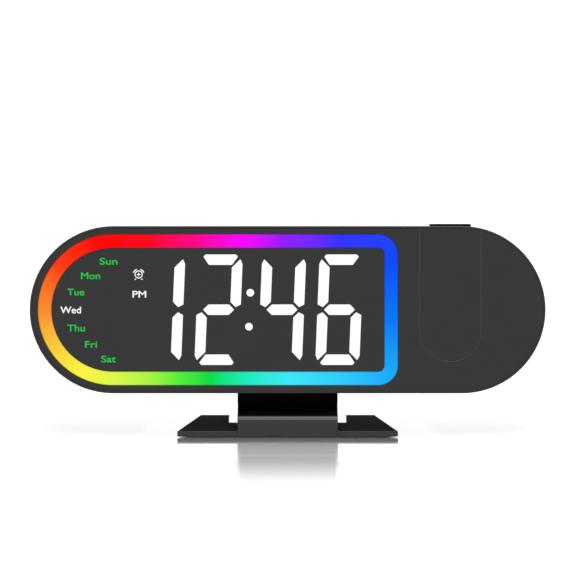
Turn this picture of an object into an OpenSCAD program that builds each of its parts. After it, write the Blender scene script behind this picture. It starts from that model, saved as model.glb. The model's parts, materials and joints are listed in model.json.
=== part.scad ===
// Projection alarm clock: a leaning stadium-shaped case on a tilting stand, with a light ring round
// its display and a projector arm that flips out of the rear.
// Axes: X to the viewer's right, Y away from the viewer, Z up; the origin is the middle of the pad.

/* [Case] */
// Depth of the case from the front face to the rear face
case_d = 32; // [32:0.5:38]
// Depth of the front half, up to the parting line
front_d = 12; // [12:0.1:13]
// Thickness of the case walls
case_wall = 2; // [1.6:0.1:2.4]
// Width of the rim that shows round the front panel
rim_w = 0.9; // [0.6:0.1:1.2]
// Radius of the rounded edge of the rear face
rear_edge_r = 6; // [4:0.5:8]
// Radius of the rim's rounded front edge
rim_edge_r = 0.4; // [0.2:0.05:0.5]
// Radius of the rear half's edge along the parting line
parting_r = 0.2; // [0.1:0.05:0.4]
// Height of the tongue that joins the two halves
tongue_h = 1.2; // [0.8:0.1:1.4]
// Thickness of that tongue
tongue_t = 0.9; // [0.7:0.05:0.9]

/* [Front panel] */
// Thickness of the panel and the display lens
panel_t = 2.8; // [2:0.1:3.2]
// How far the panel lies behind the rim
panel_recess = 0.2; // [0.1:0.05:0.4]
// Gap between the panel, the light ring and the lens
panel_gap = 0.05; // [0.05:0.01:0.15]
// Thickness of the wall behind the panel
bulkhead_t = 1.6; // [1.2:0.1:2]
// Width of the U-shaped groove in the panel
groove_w = 0.3; // [0.2:0.05:0.5]
// Depth of the U-shaped groove in the panel
groove_d = 0.15; // [0.1:0.05:0.3]

/* [Light ring] */
// Width of the lit band
ring_band = 5.8; // [5:0.1:6.2]
// Outer radius of the two corners
ring_corner_r = 8.6; // [7:0.1:10]
// How far the ring stands in from the edge of the case
ring_inset = 3.5; // [3.2:0.1:5]
// Thickness of the ring's lit front
ring_t = 3.8; // [3:0.1:4.4]
// Thickness of the ring's two legs
ring_leg = 0.8; // [0.6:0.1:1.2]
// Depth of the channel that holds the ring and its lamps
channel_d = 6; // [5.6:0.1:6.4]
// Thickness of the channel's walls and floor
channel_wall = 1.4; // [1:0.1:1.4]
// Distance between neighbouring lamps under the ring
lamp_pitch = 10; // [8:0.5:14]

/* [Digits] */
// Width of a digit
digit_w = 19.2; // [17:0.1:20]
// Height of a digit
digit_h = 47.8; // [44:0.1:48.4]
// Width of a lit bar
bar_w = 4.8; // [4:0.1:5]
// Gap between neighbouring bars
bar_gap = 1.1; // [0.8:0.1:1.4]
// Cut at the outer corner of a bar
bar_cut = 0.95; // [0.6:0.05:1.2]
// Lean of the digits in degrees
digit_slant = 2.3; // [0:0.1:3]
// Distance between the two digits of a pair
pair_pitch = 24.7; // [24:0.1:26]
// Distance between the middle two digits, across the colon
colon_pitch = 27.3; // [27:0.1:29]
// Room for the signs, from the ring's round end to the first digit
sign_room = 43.5; // [40:0.5:50]
// Room between the last digit and the ring's straight side
digit_side = 9.8; // [8.6:0.1:14]
// Room between the digits and the ring, above and below
digit_margin = 2.8; // [2:0.1:4]
// How far the colon stands to the left of the middle of its gap
colon_shift = 0.3; // [0:0.05:0.4]
// Radius of a colon dot
dot_r = 1.72; // [1.2:0.02:2]
// Height of a colon dot above or below the middle
dot_z = 7.3; // [6:0.1:9]

/* [Display module] */
// Thickness of every circuit board
board_t = 1.6; // [1.2:0.1:1.6]
// Side clearance of the inserts in the reflector
insert_fit = 0.05; // [0.03:0.01:0.1]
// Free depth behind an insert, where the lamp stands
lamp_room = 1; // [0.9:0.1:1.4]
// Width of the window behind a weekday name
day_w = 10.2; // [9.4:0.1:10.4]
// Height of the window behind a weekday name
day_h = 4; // [3.6:0.1:4.4]

/* [Projector arm] */
// Distance from the ring's straight side to the middle of the arm
arm_side = 22.5; // [21:0.5:30]
// Distance from the middle of the arm to the right end of the case
arm_end = 41; // [38:0.5:50]
// Width of the arm
arm_w = 26; // [25.6:0.1:26.4]
// Gap between the arm and the sides of its well
arm_gap = 0.4; // [0.3:0.05:0.6]
// Depth of the front wall of the well, behind the bulkhead
well_wall = 1.6; // [1.2:0.1:2]
// Thickness of the well's U-shaped side wall
well_side = 1.6; // [1.2:0.1:2]
// Gap between the arm and the front wall of the well
arm_front_gap = 0.5; // [0.4:0.05:0.8]
// Height of the pivot below the middle of the case
pivot_drop = 9; // [8:0.5:10]
// Distance of the pivot from the rear face
pivot_in = 6; // [5.5:0.1:6.2]
// Radius of the arm's long edges
arm_edge_r = 5; // [5:0.1:6]
// Thickness of the arm's shells
arm_wall = 1.6; // [1.4:0.1:2]
// Thickness of the top of the arm, under the focus ring
arm_top_t = 4; // [3.8:0.1:4.6]
// Radius of each pivot pin
pivot_r = 1.5; // [1.2:0.1:1.8]
// Length of each pivot pin
pivot_l = 9; // [8:0.1:10]
// Running clearance of every shaft in its bore
run_fit = 0.05; // [0.02:0.01:0.1]

/* [Projector optics] */
// Diameter of the focus ring
focus_d = 18; // [17:0.1:19]
// How far the focus ring stands out of the arm
focus_proud = 0.95; // [0.7:0.05:1.4]
// Depth of the dish that the focus ring sits in
focus_dish = 1.2; // [1:0.1:1.6]
// Clearance round the focus ring
focus_gap = 0.3; // [0.3:0.05:0.5]
// Diameter of the focus ring's neck
focus_neck_d = 14; // [13.6:0.1:15]
// Diameter of the flange that keeps the focus ring in
focus_flange_d = 16; // [16:0.1:17]
// Thickness of that flange
focus_flange_t = 1.5; // [1:0.1:1.8]
// Number of notches round the focus ring
focus_notches = 30; // [20:2:40]
// Diameter of the projector lens
lens_d = 10.9; // [10:0.1:11.6]
// Outer diameter of the optics tube
tube_d = 18.4; // [17:0.1:18.8]
// Length of the optics tube
tube_l = 29; // [27:0.5:29.5]
// Wall of the optics tube
tube_wall = 1.4; // [1:0.1:1.6]

/* [Buttons] */
// Diameter of a rear button
button_d = 7; // [6:0.1:8]
// How far a rear button stands out of the case
button_proud = 0.8; // [0.7:0.1:1.4]
// Travel of a rear button
button_travel = 0.6; // [0.4:0.05:0.65]
// Distance between neighbouring rear buttons
button_pitch = 14; // [12.5:0.5:15]
// Distance of the first rear button from the middle of the loudspeaker
button_start = 34; // [30:0.5:36]
// Height of the row of rear buttons above the middle
button_z = 14; // [13:0.5:15]
// Width of the lip that keeps a button in
button_lip = 1.2; // [0.8:0.1:1.4]
// Thickness of that lip
button_lip_t = 1.1; // [0.8:0.1:1.4]
// Clearance round every button
button_gap = 0.3; // [0.3:0.05:0.45]
// Length of the snooze bar
snooze_l = 44; // [36:1:48]
// Width of the snooze bar
snooze_w = 10; // [9:0.5:12]
// Travel of the snooze bar
snooze_travel = 0.8; // [0.6:0.05:0.85]

/* [Rear fittings] */
// Distance of the loudspeaker's middle from the end of the case
speaker_end = 25; // [22.5:0.5:28]
// Diameter of the loudspeaker
speaker_d = 26; // [24:0.5:27]
// Diameter of one grille hole
grille_d = 1.7; // [1.2:0.1:2]
// Distance between grille holes
grille_pitch = 3; // [2.8:0.1:3.2]
// Height of the loudspeaker
speaker_h = 6.4; // [5:0.1:7]
// Radius of the loudspeaker's magnet
magnet_r = 8; // [6:0.5:9]
// Width of the battery door
door_w = 32; // [31:0.5:34]
// Height of the battery door
door_h = 26; // [25:0.5:27]
// Thickness of the battery door
door_t = 1.6; // [1.2:0.1:1.8]
// Gap between the loudspeaker and the battery door
door_side = 3; // [2.8:0.1:6]
// Height of the door's middle below the middle of the case
door_drop = 13; // [13:0.5:14]
// Depth of the battery bay
bay_d = 8; // [7.4:0.1:8.4]
// Diameter of the coin cell
cell_d = 20; // [20:1:20]
// Thickness of the coin cell
cell_t = 3.2; // [3.2:0.1:3.2]
// Gap between the main board and the projector well
board_side = 3; // [0.5:0.1:4]
// Distance of the USB socket from the right end of the main board
usb_in = 11; // [9:0.5:13]
// Height of the USB socket below the middle of the case
usb_drop = 15; // [14:0.5:16]
// Height of the power inlet above the middle of the case
jack_z = 1; // [0:0.5:2]

/* [Fasteners] */
// Radius of the shank of a case screw
screw_r = 1.3; // [1.1:0.1:1.4]
// Radius of the head of a case screw
screw_head_r = 2.6; // [2.3:0.1:2.8]
// Clearance of a screw in its hole
screw_gap = 0.05; // [0.03:0.01:0.1]
// Radius of the boss round a case screw
boss_r = 3.25; // [3.1:0.05:3.25]

/* [Stand] */
// Width of the base along its front edge
base_front_w = 95; // [85:1:110]
// Width of the base along its rear edge
base_rear_w = 75; // [70:1:90]
// Depth of the base from front to rear
base_depth = 52; // [52:1:64]
// Thickness of the base plate
base_t = 2.3; // [2:0.1:3.5]
// Width of the neck
neck_w = 43.2; // [40:0.1:46]
// Thickness of the neck
neck_t = 6.8; // [6:0.1:7]
// Radius of the neck's rounded nose
nose_r = 3.8; // [3:0.1:5]
// Inner radius of the bend where the neck turns up
bend_r = 4; // [3:0.1:5]
// Width of the two slots beside the neck
slot_w = 3.6; // [2.5:0.1:4]
// Length of the two slots
slot_l = 24; // [18:0.5:26]
// Thickness of the anti-slip pad
pad_t = 1; // [0.8:0.1:1.2]
// How far the pad stands out of the base
pad_proud = 0.4; // [0.2:0.05:0.6]
// Margin between the pad and the edges of the base
pad_margin = 4; // [3:0.5:8]

/* [Tilt hinge] */
// How far the case leans back at rest, in degrees
lean = 7.5; // [0:0.5:12]
// Radius of the hinge barrel
barrel_r = 4; // [3.5:0.1:4.2]
// Distance of the hinge from the rear face of the case
hinge_out = 5; // [5:0.1:6]
// Height of the hinge below the middle of the case
hinge_drop = 24; // [22:0.5:25]
// Distance of the hinge behind the middle of the base
hinge_back = 18.3; // [17:0.1:20]
// Room between the neck and the case when it stands upright
under_gap = 3.9; // [3:0.1:6]
// Radius of the hinge pin
pin_r = 1.5; // [1.2:0.1:1.8]
// Width of each lug on the case
lug_w = 4; // [3:0.1:5]
// Side gap between the neck and a lug
lug_gap = 0.4; // [0.3:0.05:0.6]

/* [Hidden] */
$fn = 64;
far = 100;

black = "#131416";
satin = "#1b1c1f";
lens_black = "#232427";
board_green = "#1f5a3a";
steel = "#b4b7ba";

// The ring is as large as its signs and digits need, and the case as large as the ring and the arm
ring_h = digit_h + 2 * (digit_margin + ring_band);
ring_w = sign_room + 2 * pair_pitch + colon_pitch + digit_w + digit_side + ring_band;
case_h = ring_h + 2 * ring_inset;
case_w = ring_inset + ring_w + arm_side + arm_end;
arm_x = case_w / 2 - arm_end;

// Planes of the front stack, as depths behind the front face
panel_front = panel_recess;
seat_y = panel_recess + panel_t;
bulkhead_back = seat_y + bulkhead_t;
channel_floor = seat_y + channel_d;
channel_back = channel_floor + channel_wall;
display_board_back = channel_back + board_t;
ring_board_t = 1.2;
ring_board_front = channel_floor - ring_board_t;
rear_inner = case_d - case_wall;

// Light ring
ring_left = -case_w / 2 + ring_inset;
ring_arc_x = ring_left + ring_h / 2;
ring_right = ring_left + ring_w;
wall_in = ring_band + panel_gap + channel_wall;
lamp_size = 1.8;
dot_lamp_size = 1.2;
lamp_t = 0.8;

// Digits and signs
first_digit_x = ring_left + sign_room + digit_w / 2;
digit_xs = [
    first_digit_x,
    first_digit_x + pair_pitch,
    first_digit_x + pair_pitch + colon_pitch,
    first_digit_x + 2 * pair_pitch + colon_pitch
];
colon_x = first_digit_x + pair_pitch + colon_pitch / 2 - colon_shift;
// Lower left corners of the seven weekday names, top to bottom, from the ring's arc centre and as
// shares of the free radius inside the arc, which they follow
free_r = ring_h / 2 - wall_in;
day_spots = [
    for (share = [[-0.23, 0.77], [-0.55, 0.52], [-0.78, 0.25], [-0.9, -0.06], [-0.78, -0.37],
                  [-0.48, -0.65], [-0.21, -0.9]])
        share * free_r
];
status_x = 8.2;
status_w = 7.3;
status_spots = [[status_x, 5.2], [status_x, 13.7]];
day_margin = 0.6;
peg_r = 1;
peg_in = 3;
peg_along = 12;
peg_proud = 0.6;

// Rear fittings along the case
speaker_flange = 2;
speaker_x = -case_w / 2 + speaker_end;
door_x = speaker_x + speaker_d / 2 + door_side + door_w / 2;
button_x = speaker_x + button_start;

// Main board, from beside the first button to the projector well
main_room = 9;
main_back = rear_inner - main_room;
main_front = main_back - board_t;
main_x0 = button_x - button_pitch;
main_x1 = arm_x - arm_w / 2 - arm_gap - well_side - board_side;
main_z = 21;
usb_x = main_x1 - usb_in;
standoff_z = 17.5;
standoff_in = 4;
low_standoff_in = 24;
standoffs = [
    [main_x0 + standoff_in, standoff_z], [main_x1 - standoff_in, standoff_z],
    [main_x0 + 2.5 * button_pitch, -standoff_z], [main_x1 - low_standoff_in, -standoff_z]
];
standoff_r = 2.6;
board_screw_r = 1.1;
board_screw_head_r = 2;
board_screw_head_t = 1.2;
board_screw_l = 6.8;
chips = [[54, 4, 12, 12], [80, 3, 9, 6], [26, -8, 8, 5]];
chip_t = 1.4;
capacitor_r = 2.5;
capacitor_in = 14;
capacitor_pitch = 8;
capacitor_xs = [for (i = [0, 1]) main_x1 - capacitor_in - i * capacitor_pitch];
capacitor_z = -4;
capacitor_gap = 1.9;
header_x = main_x0 + 4 * button_pitch;
header_z = -16;
header_l = 22;
header_w = 2.6;
switch_size = 6;
switch_t = 3.5;
plunger_r = 1.75;
plunger_gap = 0.15;
button_xs = [for (i = [0:5]) button_x + i * button_pitch];
lip_play = button_gap + 0.1;
button_collar = 1.2;
button_inner = rear_inner - lip_play - button_lip_t;

// Snooze bar
snooze_y = front_d + (rear_inner - front_d) / 2;
snooze_lip_top = case_h / 2 - case_wall - lip_play;
snooze_lip_t = 1.4;
snooze_chamfer = 0.35;
snooze_board_z = snooze_lip_top - snooze_lip_t - snooze_travel - plunger_gap - switch_t - board_t;
snooze_board_w = 24;
snooze_board_d = 13;
snooze_bracket_x = 9;
snooze_bracket_w = 2;

// Case screws: two on the ring's arc, two in the right end, two near the ring's straight side
arc_screw_r = ring_h / 2 - ring_band / 2;
arc_screw_angle = 35;
side_screw_in = 11.5;
side_screw_x = ring_right - side_screw_in;
end_screw_in = 14;
end_screw_x = case_w / 2 - end_screw_in;
end_screw_z = 16;
case_screws_xz = [
    for (s = [-1, 1])
        [ring_arc_x - arc_screw_r * cos(arc_screw_angle), s * arc_screw_r * sin(arc_screw_angle)],
    for (s = [-1, 1]) [side_screw_x, s * arc_screw_r],
    for (s = [-1, 1]) [end_screw_x, s * end_screw_z]
];
boss_l = 5.6;
screw_seat = 2;
boss_meet = channel_back + boss_l;
screw_floor = boss_meet + screw_seat;
screw_head_t = 2;
// Cross recesses: length and width of a bar as shares of the head's radius, and the depths
recess_l = 1.3;
recess_w = 0.3;
recess_d = 1;
small_recess_d = 0.5;
head_joint = 0.2;
screw_l = 8;

// Projector arm
well_front = bulkhead_back + well_wall;
well_r = arm_w / 2 + arm_gap;
arm_front = well_front + arm_front_gap;
arm_back = case_d;
arm_mid = (arm_front + arm_back) / 2;
pivot_y = case_d - pivot_in;
pivot_z = -pivot_drop;
arm_top = case_h / 2;
sweep_r = pivot_y - arm_front;
pivot_boss_r = pivot_r + 2;
pivot_boss_l = 3.6;
arm_boss_l = 5.2;
cavity_top = arm_top - arm_top_t;
dish_z = arm_top - focus_dish;
grip_bottom = dish_z + focus_gap;
grip_top = arm_top + focus_proud;
flange_top = cavity_top - focus_gap;
flange_bottom = flange_top - focus_flange_t;
lens_recess = 1.2;
lens_top = grip_top - lens_recess;
lens_t = 3;
lens_room = 2.2;
tube_top = flange_bottom - lens_room;
tube_bottom = tube_top - tube_l;
cradle_t = 1.6;
cradle_low = 5;
cradle_high = 7;
cradles = [tube_bottom + cradle_low, tube_top - cradle_high];
optic_fit = 0.05;
led_board_t = 1.2;
led_r = 2;
led_t = 1.2;
condenser_up = 5;
condenser_t = 4.4;
lcd_up = 13;
lcd_t = 1.2;
arm_screw_up = 6.3;
arm_screw_z = pivot_z - arm_w / 2 + arm_screw_up;
arm_screw_r = 1;
arm_screw_head_r = 1.9;
arm_screw_boss_r = 2.9;
arm_screw_seat = arm_back - 1.6;
arm_screw_top = arm_back - 0.3;
grip_lines = 4;
grip_pitch = 2.4;
grip_down = 8;
grip_top_z = arm_top - grip_down;
grip_line_w = 1;
grip_line_d = 0.5;

// Rear fittings
door_z = -door_drop;
bay_floor = case_d - bay_d;
bay_wall = 1.2;
bay_ledge = 1.2;
door_gap = 0.2;
door_screw_in = 3.6;
door_screw_x = door_x + door_w / 2 - door_screw_in;
door_screw_l = 5.2;
door_screw_seat = case_d - door_t + 0.5;
door_screw_top = case_d - 0.3;
cell_side = 2;
cell_x = door_x - door_w / 2 + cell_d / 2 + cell_side;
cell_rim = 1.2;
contact_t = 0.4;
contact_w = 8;
contact_l = 14;
door_grips = 3;
door_grip_pitch = 1.8;
usb_z = -usb_drop;
usb_w = 13.1;
usb_h = 5.8;
usb_shell = 0.4;
jack_r = 3.6;
jack_bore_r = 1.9;
jack_pin_r = 0.65;
jack_x = usb_x;
jack_size = 8.4;
jack_floor = main_back + 1.4;
port_recess = 0.4;
port_front = case_d - port_recess;

// Stand
base_front = -base_depth / 2;
base_back = base_depth / 2;
base_bottom = pad_proud;
base_top = base_bottom + base_t;
foot_top = base_top + neck_t;
bend_outer = bend_r + neck_t;
bend_y = hinge_back + neck_t / 2 - bend_outer;
bend_z = foot_top + bend_r;
hinge_z = foot_top + under_gap + case_h / 2 - hinge_drop;
lug_in = neck_w / 2 + lug_gap;
lug_rise = 1.8;
pin_proud = 0.5;
pin_l = 2 * (lug_in + lug_w + pin_proud);
stand_screw_side = 7.6;
stand_screw_front = 12;
stand_screw_back = 7;
stand_screws_xy = [
    for (side = [-1, 1])
        for (y = [base_front + stand_screw_front, bend_y - stand_screw_back])
            [side * (neck_w / 2 - stand_screw_side), y]
];
stand_screw_r = 1.4;
stand_head_r = 2.7;
stand_head_t = 1.2;

// Place of the front face's middle, so that the hinge lies behind the leaning case
face_y = hinge_back - (case_d + hinge_out) * cos(lean) + hinge_drop * sin(lean);
face_z = hinge_z + (case_d + hinge_out) * sin(lean) + hinge_drop * cos(lean);

// ---- Frames and shapes ----

// The case's own frame: X across, Y depth behind the front face, Z up the leaning face.
module clock_frame() {
    translate([0, face_y, face_z]) rotate([-lean, 0, 0]) children();
}

// Extrudes an X-Z outline from depth y0 to depth y1.
module slab(y0, y1) {
    translate([0, y1, 0]) rotate([90, 0, 0]) linear_extrude(y1 - y0) children();
}

// Extrudes a Y-Z outline from x0 to x1.
module across(x0, x1) {
    translate([x0, 0, 0]) rotate([90, 0, 90]) linear_extrude(x1 - x0) children();
}

// A round rod along Y at [x, z].
module rod(x, z, r, y0, y1) {
    translate([x, y1, z]) rotate([90, 0, 0]) cylinder(r = r, h = y1 - y0);
}

// A box between two depths, centred on [x, z].
module block(x, z, w, h, y0, y1) {
    translate([x - w / 2, y0, z - h / 2]) cube([w, y1 - y0, h]);
}

// The recess for a cross screwdriver, in a screw head of radius r.
module cross_outline(r) {
    for (turn = [0, 90]) rotate(turn) square([recess_l * r, recess_w * r], center = true);
}

// A stadium: straight along X with a round end each side.
module stadium(w, h) {
    square([w - h, h], center = true);
    for (side = [-1, 1]) translate([side * (w - h) / 2, 0]) circle(h / 2);
}

module case_outline(inset) {
    stadium(case_w - 2 * inset, case_h - 2 * inset);
}

// What is cut off a square corner at the origin's upper right to round it.
module corner_cut(r) {
    difference() {
        square(r + 1);
        circle(r);
    }
}

// Half of the case's cross-section, with its front and rear edges rounded.
module half_section(r, y0, y1, front_r, rear_r) {
    difference() {
        translate([0, y0]) square([r, y1 - y0]);
        if (front_r > 0) translate([r - front_r, y0 + front_r]) mirror([0, 1]) corner_cut(front_r);
        if (rear_r > 0) translate([r - rear_r, y1 - rear_r]) corner_cut(rear_r);
    }
}

// The case as a solid: the half section turned round each end and run straight between them.
module case_solid(inset, y0, y1, front_r, rear_r) {
    r = case_h / 2 - inset;
    span = (case_w - case_h) / 2;
    for (side = [-1, 1])
        translate([side * span, 0, 0])
            rotate([-90, 0, 0])
                rotate([0, 0, -90 * side])
                    rotate_extrude(angle = 180) half_section(r, y0, y1, front_r, rear_r);
    rotate([0, -90, 0]) linear_extrude(2 * span, center = true) {
        half_section(r, y0, y1, front_r, rear_r);
        mirror([1, 0]) half_section(r, y0, y1, front_r, rear_r);
    }
}

// The light ring's outline, moved inwards by inset: half round on the left, square on the right.
module ring_outline(inset) {
    r = ring_h / 2 - inset;
    corner = max(ring_corner_r - inset, 0.6);
    right = ring_right - inset;
    translate([ring_arc_x, 0]) circle(r);
    translate([ring_arc_x, -r]) square([right - corner - ring_arc_x, 2 * r]);
    translate([right - corner - 1, corner - r]) square([corner + 1, 2 * (r - corner)]);
    for (s = [-1, 1]) translate([right - corner, s * (r - corner)]) circle(corner);
}

// The U of the projector well: a half round under two straight sides.
module well_outline(r, top) {
    translate([arm_x, pivot_z]) circle(r);
    translate([arm_x - r, pivot_z]) square([2 * r, top - pivot_z]);
}

// ---- Digits ----

function slanted(p) = [p[0] + p[1] * tan(digit_slant), p[1]];

// The top bar of a digit, with pointed ends.
function top_bar(a, b) = [
    [bar_cut + bar_gap + bar_cut - a, b], [a - bar_cut - bar_gap - bar_cut, b],
    [a - bar_cut - bar_gap, b - bar_cut], [a - bar_w, b - bar_w],
    [bar_w - a, b - bar_w], [bar_cut + bar_gap - a, b - bar_cut]
];

// The upper left bar of a digit.
function side_bar(a, b) = [
    [-a, bar_w / 2], [bar_w / 2 - a, bar_gap], [bar_w - a, bar_w / 2 + bar_gap],
    [bar_w - a, b - bar_w - bar_gap], [bar_cut - a, b - bar_cut - bar_gap],
    [-a, b - 2 * bar_cut - 2 * bar_gap]
];

// The middle bar of a digit.
function middle_bar(a) = [
    for (s = [-1, 1])
        for (p = [[a - bar_w - bar_gap / 2, -bar_w / 2], [a - (bar_w + bar_gap) / 2, 0],
                  [a - bar_w - bar_gap / 2, bar_w / 2]])
            [-s * p[0], -s * p[1]]
];

function flipped(points, sx, sz) = [for (p = points) [p[0] * sx, p[1] * sz]];

// The bars of a digit. The first digit shows only 1 or 2, so it has no bar at its upper left.
function digit_bars(a, b, first) = concat(
    [for (sz = [1, -1]) flipped(top_bar(a, b), 1, sz)],
    [
        for (sx = [1, -1])
            for (sz = [1, -1])
                if (!(first && sx > 0 && sz > 0)) flipped(side_bar(a, b), sx, sz)
    ],
    [middle_bar(a)]
);

module bars_outline(first) {
    for (bar = digit_bars(digit_w / 2, digit_h / 2, first))
        polygon([for (p = bar) slanted(p)]);
}

module dots_outline(grow) {
    for (s = [-1, 1])
        translate(slanted([0, s * dot_z])) circle(dot_r + grow);
}

module sign_window(spot, w, grow) {
    translate([ring_arc_x + spot[0] - day_margin - grow, spot[1] - day_margin - grow])
        square([w + 2 * grow, day_h + 2 * grow]);
}

// ---- Stand ----

module base_outline(inset) {
    side = (base_front_w - base_rear_w) / 2 / base_depth;
    front_half = base_front_w / 2 - inset - inset * side;
    rear_half = base_rear_w / 2 - inset + inset * side;
    polygon([
        [-front_half, base_front + inset], [front_half, base_front + inset],
        [rear_half, base_back - inset], [-rear_half, base_back - inset]
    ]);
}

module slots_outline(grow) {
    for (s = [-1, 1])
        translate([s * (neck_w + slot_w) / 2, base_back - slot_l / 2])
            square([slot_w + 2 * grow, slot_l + 2 * grow], center = true);
}

module pad_outline(inset) {
    difference() {
        base_outline(pad_margin + inset);
        slots_outline(pad_margin / 2 + inset);
        translate([0, base_front]) square([neck_w + pad_margin, 2 * (nose_r + pad_margin)], center = true);
    }
}

module stand_base() {
    color(black)
        difference() {
            translate([0, 0, base_bottom]) linear_extrude(base_t) base_outline(0);
            translate([0, 0, base_bottom - 1]) linear_extrude(base_t + 2) slots_outline(0);
            translate([0, base_front, 0]) cube([neck_w, 2 * nose_r, 2 * far], center = true);
            linear_extrude(pad_t) pad_outline(0);
            for (p = stand_screws_xy) translate([p[0], p[1], pad_t]) {
                cylinder(r1 = stand_head_r + screw_gap, r2 = stand_screw_r + screw_gap, h = stand_head_t);
                cylinder(r = stand_screw_r + screw_gap, h = base_t);
            }
        }
}

module base_pad() {
    color("#232325") linear_extrude(pad_t) pad_outline(0.2);
}

module stand_neck() {
    color(black)
        difference() {
            across(-neck_w / 2, neck_w / 2) {
                translate([base_front, base_bottom]) square([nose_r, foot_top - nose_r - base_bottom]);
                intersection() {
                    translate([base_front + nose_r, foot_top - nose_r]) circle(nose_r);
                    translate([base_front, foot_top - nose_r]) square(nose_r);
                }
                translate([base_front + nose_r, base_top]) square([bend_y - base_front - nose_r, neck_t]);
                translate([bend_y, bend_z]) intersection() {
                    difference() {
                        circle(bend_outer);
                        circle(bend_r);
                    }
                    translate([0, -bend_outer]) square(bend_outer);
                }
                translate([hinge_back - neck_t / 2, bend_z]) square([neck_t, hinge_z - bend_z]);
                translate([hinge_back, hinge_z]) circle(barrel_r);
            }
            across(-far, far) translate([hinge_back, hinge_z]) circle(pin_r + run_fit);
            for (p = stand_screws_xy) translate([p[0], p[1], 0])
                cylinder(r = stand_screw_r + screw_gap, h = foot_top - 1.5);
        }
}

module stand_screws() {
    color(steel)
        for (p = stand_screws_xy) translate([p[0], p[1], pad_t]) {
            cylinder(r1 = stand_head_r, r2 = stand_screw_r, h = stand_head_t);
            cylinder(r = stand_screw_r, h = foot_top - 2 - pad_t);
        }
}

module tilt_pin() {
    color(steel)
        translate([0, hinge_back, hinge_z]) rotate([0, 90, 0]) cylinder(r = pin_r, h = pin_l, center = true);
}

// ---- Case ----

module front_case() {
    color(black) clock_frame() {
        difference() {
            union() {
                difference() {
                    case_solid(0, 0, front_d, rim_edge_r, 0);
                    slab(bulkhead_back, front_d + 1) case_outline(case_wall);
                }
                slab(seat_y, channel_back) intersection() {
                    ring_outline(-panel_gap - channel_wall);
                    case_outline(case_wall / 2);
                }
                for (p = case_screws_xz) rod(p[0], p[1], boss_r, seat_y, boss_meet);
            }
            slab(-1, seat_y) case_outline(rim_w);
            slab(seat_y - 1, channel_floor) difference() {
                ring_outline(-panel_gap);
                ring_outline(ring_band + panel_gap);
            }
            slab(0, front_d + far) ring_outline(wall_in);
            slab(well_front, front_d + 1) well_outline(well_r, far);
            for (p = case_screws_xz) rod(p[0], p[1], screw_r + screw_gap, channel_back + 0.4, boss_meet + 1);
            for (s = [-1, 1]) block(0, s * arc_screw_r, 4, 2, channel_floor - 1, channel_back + 1);
        }
    }
}

module rear_case() {
    color(satin) clock_frame() {
        difference() {
            union() {
                difference() {
                    case_solid(0, front_d, case_d, parting_r, rear_edge_r);
                    case_solid(case_wall, front_d - 1, rear_inner, 0, rear_edge_r - case_wall);
                }
                tongue();
                well_shell();
                for (p = case_screws_xz) rod(p[0], p[1], boss_r, boss_meet, case_d - 1);
                for (p = standoffs) rod(p[0], p[1], standoff_r, main_back, rear_inner + 1);
                rod(speaker_x, 0, speaker_d / 2 + 1.4, rear_inner - 4, rear_inner + 1);
                block(door_x, door_z, door_w + 2 * bay_wall, door_h + 2 * bay_wall,
                      bay_floor - bay_wall, case_d - 1);
                for (s = [-1, 1]) lug(s);
                for (s = [-1, 1]) snooze_bracket(s);
                for (x = button_xs)
                    rod(x, button_z, button_d / 2 + button_lip + button_collar,
                        rear_inner - 1, rear_inner + 1);
            }
            slab(well_front, case_d + 1) well_outline(well_r, far);
            pivot_holes(pivot_r + run_fit / 2);
            for (p = case_screws_xz) {
                rod(p[0], p[1], screw_head_r + 0.3, screw_floor, case_d + 1);
                rod(p[0], p[1], screw_r + 0.2, boss_meet - 1, screw_floor + 1);
            }
            for (p = standoffs) rod(p[0], p[1], board_screw_r + screw_gap, main_back - 1, rear_inner - 1);
            rod(speaker_x, 0, speaker_d / 2 + 0.1, rear_inner - 5, rear_inner);
            speaker_grille();
            battery_bay();
            for (x = button_xs) {
                rod(x, button_z, button_d / 2 + button_gap, rear_inner - 2, case_d + 1);
                rod(x, button_z, button_d / 2 + button_lip + button_gap, rear_inner - 2, rear_inner);
            }
            block(usb_x, usb_z, usb_w + 0.4, usb_h + 0.4, rear_inner - 1, case_d + 1);
            rod(jack_x, jack_z, jack_r + 0.2, rear_inner - 1, case_d + 1);
            translate([0, snooze_y, case_h / 2 - case_wall - 1]) linear_extrude(far)
                stadium(snooze_l + 2 * button_gap, snooze_w + 2 * button_gap);
            across(-far, far) translate([case_d + hinge_out, -hinge_drop]) circle(pin_r + run_fit / 2);
        }
    }
}

// The tongue that fits inside the front half, open where the projector well crosses it.
module tongue() {
    slab(front_d - tongue_h, front_d + 2) difference() {
        case_outline(case_wall + 0.1);
        case_outline(case_wall + 0.1 + tongue_t);
        well_outline(well_r + well_side / 2, far);
    }
}

// The U-shaped walls and the front wall of the projector well, with a boss at each pivot.
module well_shell() {
    slab(bulkhead_back, case_d - 1) intersection() {
        well_outline(well_r + well_side, far);
        case_outline(case_wall + 0.1);
    }
    slab(front_d, case_d - rear_edge_r) intersection() {
        well_outline(well_r + well_side, far);
        case_outline(case_wall / 2);
    }
    across(arm_x - well_r - pivot_boss_l, arm_x + well_r + pivot_boss_l)
        translate([pivot_y, pivot_z]) circle(pivot_boss_r);
}

module pivot_holes(r) {
    across(arm_x - well_r - pivot_boss_l - 1, arm_x + well_r + pivot_boss_l + 1)
        translate([pivot_y, pivot_z]) circle(r);
}

module speaker_grille() {
    rows = floor((speaker_d / 2 - 2) / grille_pitch);
    for (i = [-rows:rows])
        for (j = [-rows:rows]) {
            x = (i + j / 2) * grille_pitch;
            z = j * grille_pitch * sin(60);
            if (norm([x, z]) < speaker_d / 2 - 2)
                rod(speaker_x + x, z, grille_d / 2, rear_inner - 1, case_d + 1);
        }
}

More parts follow.
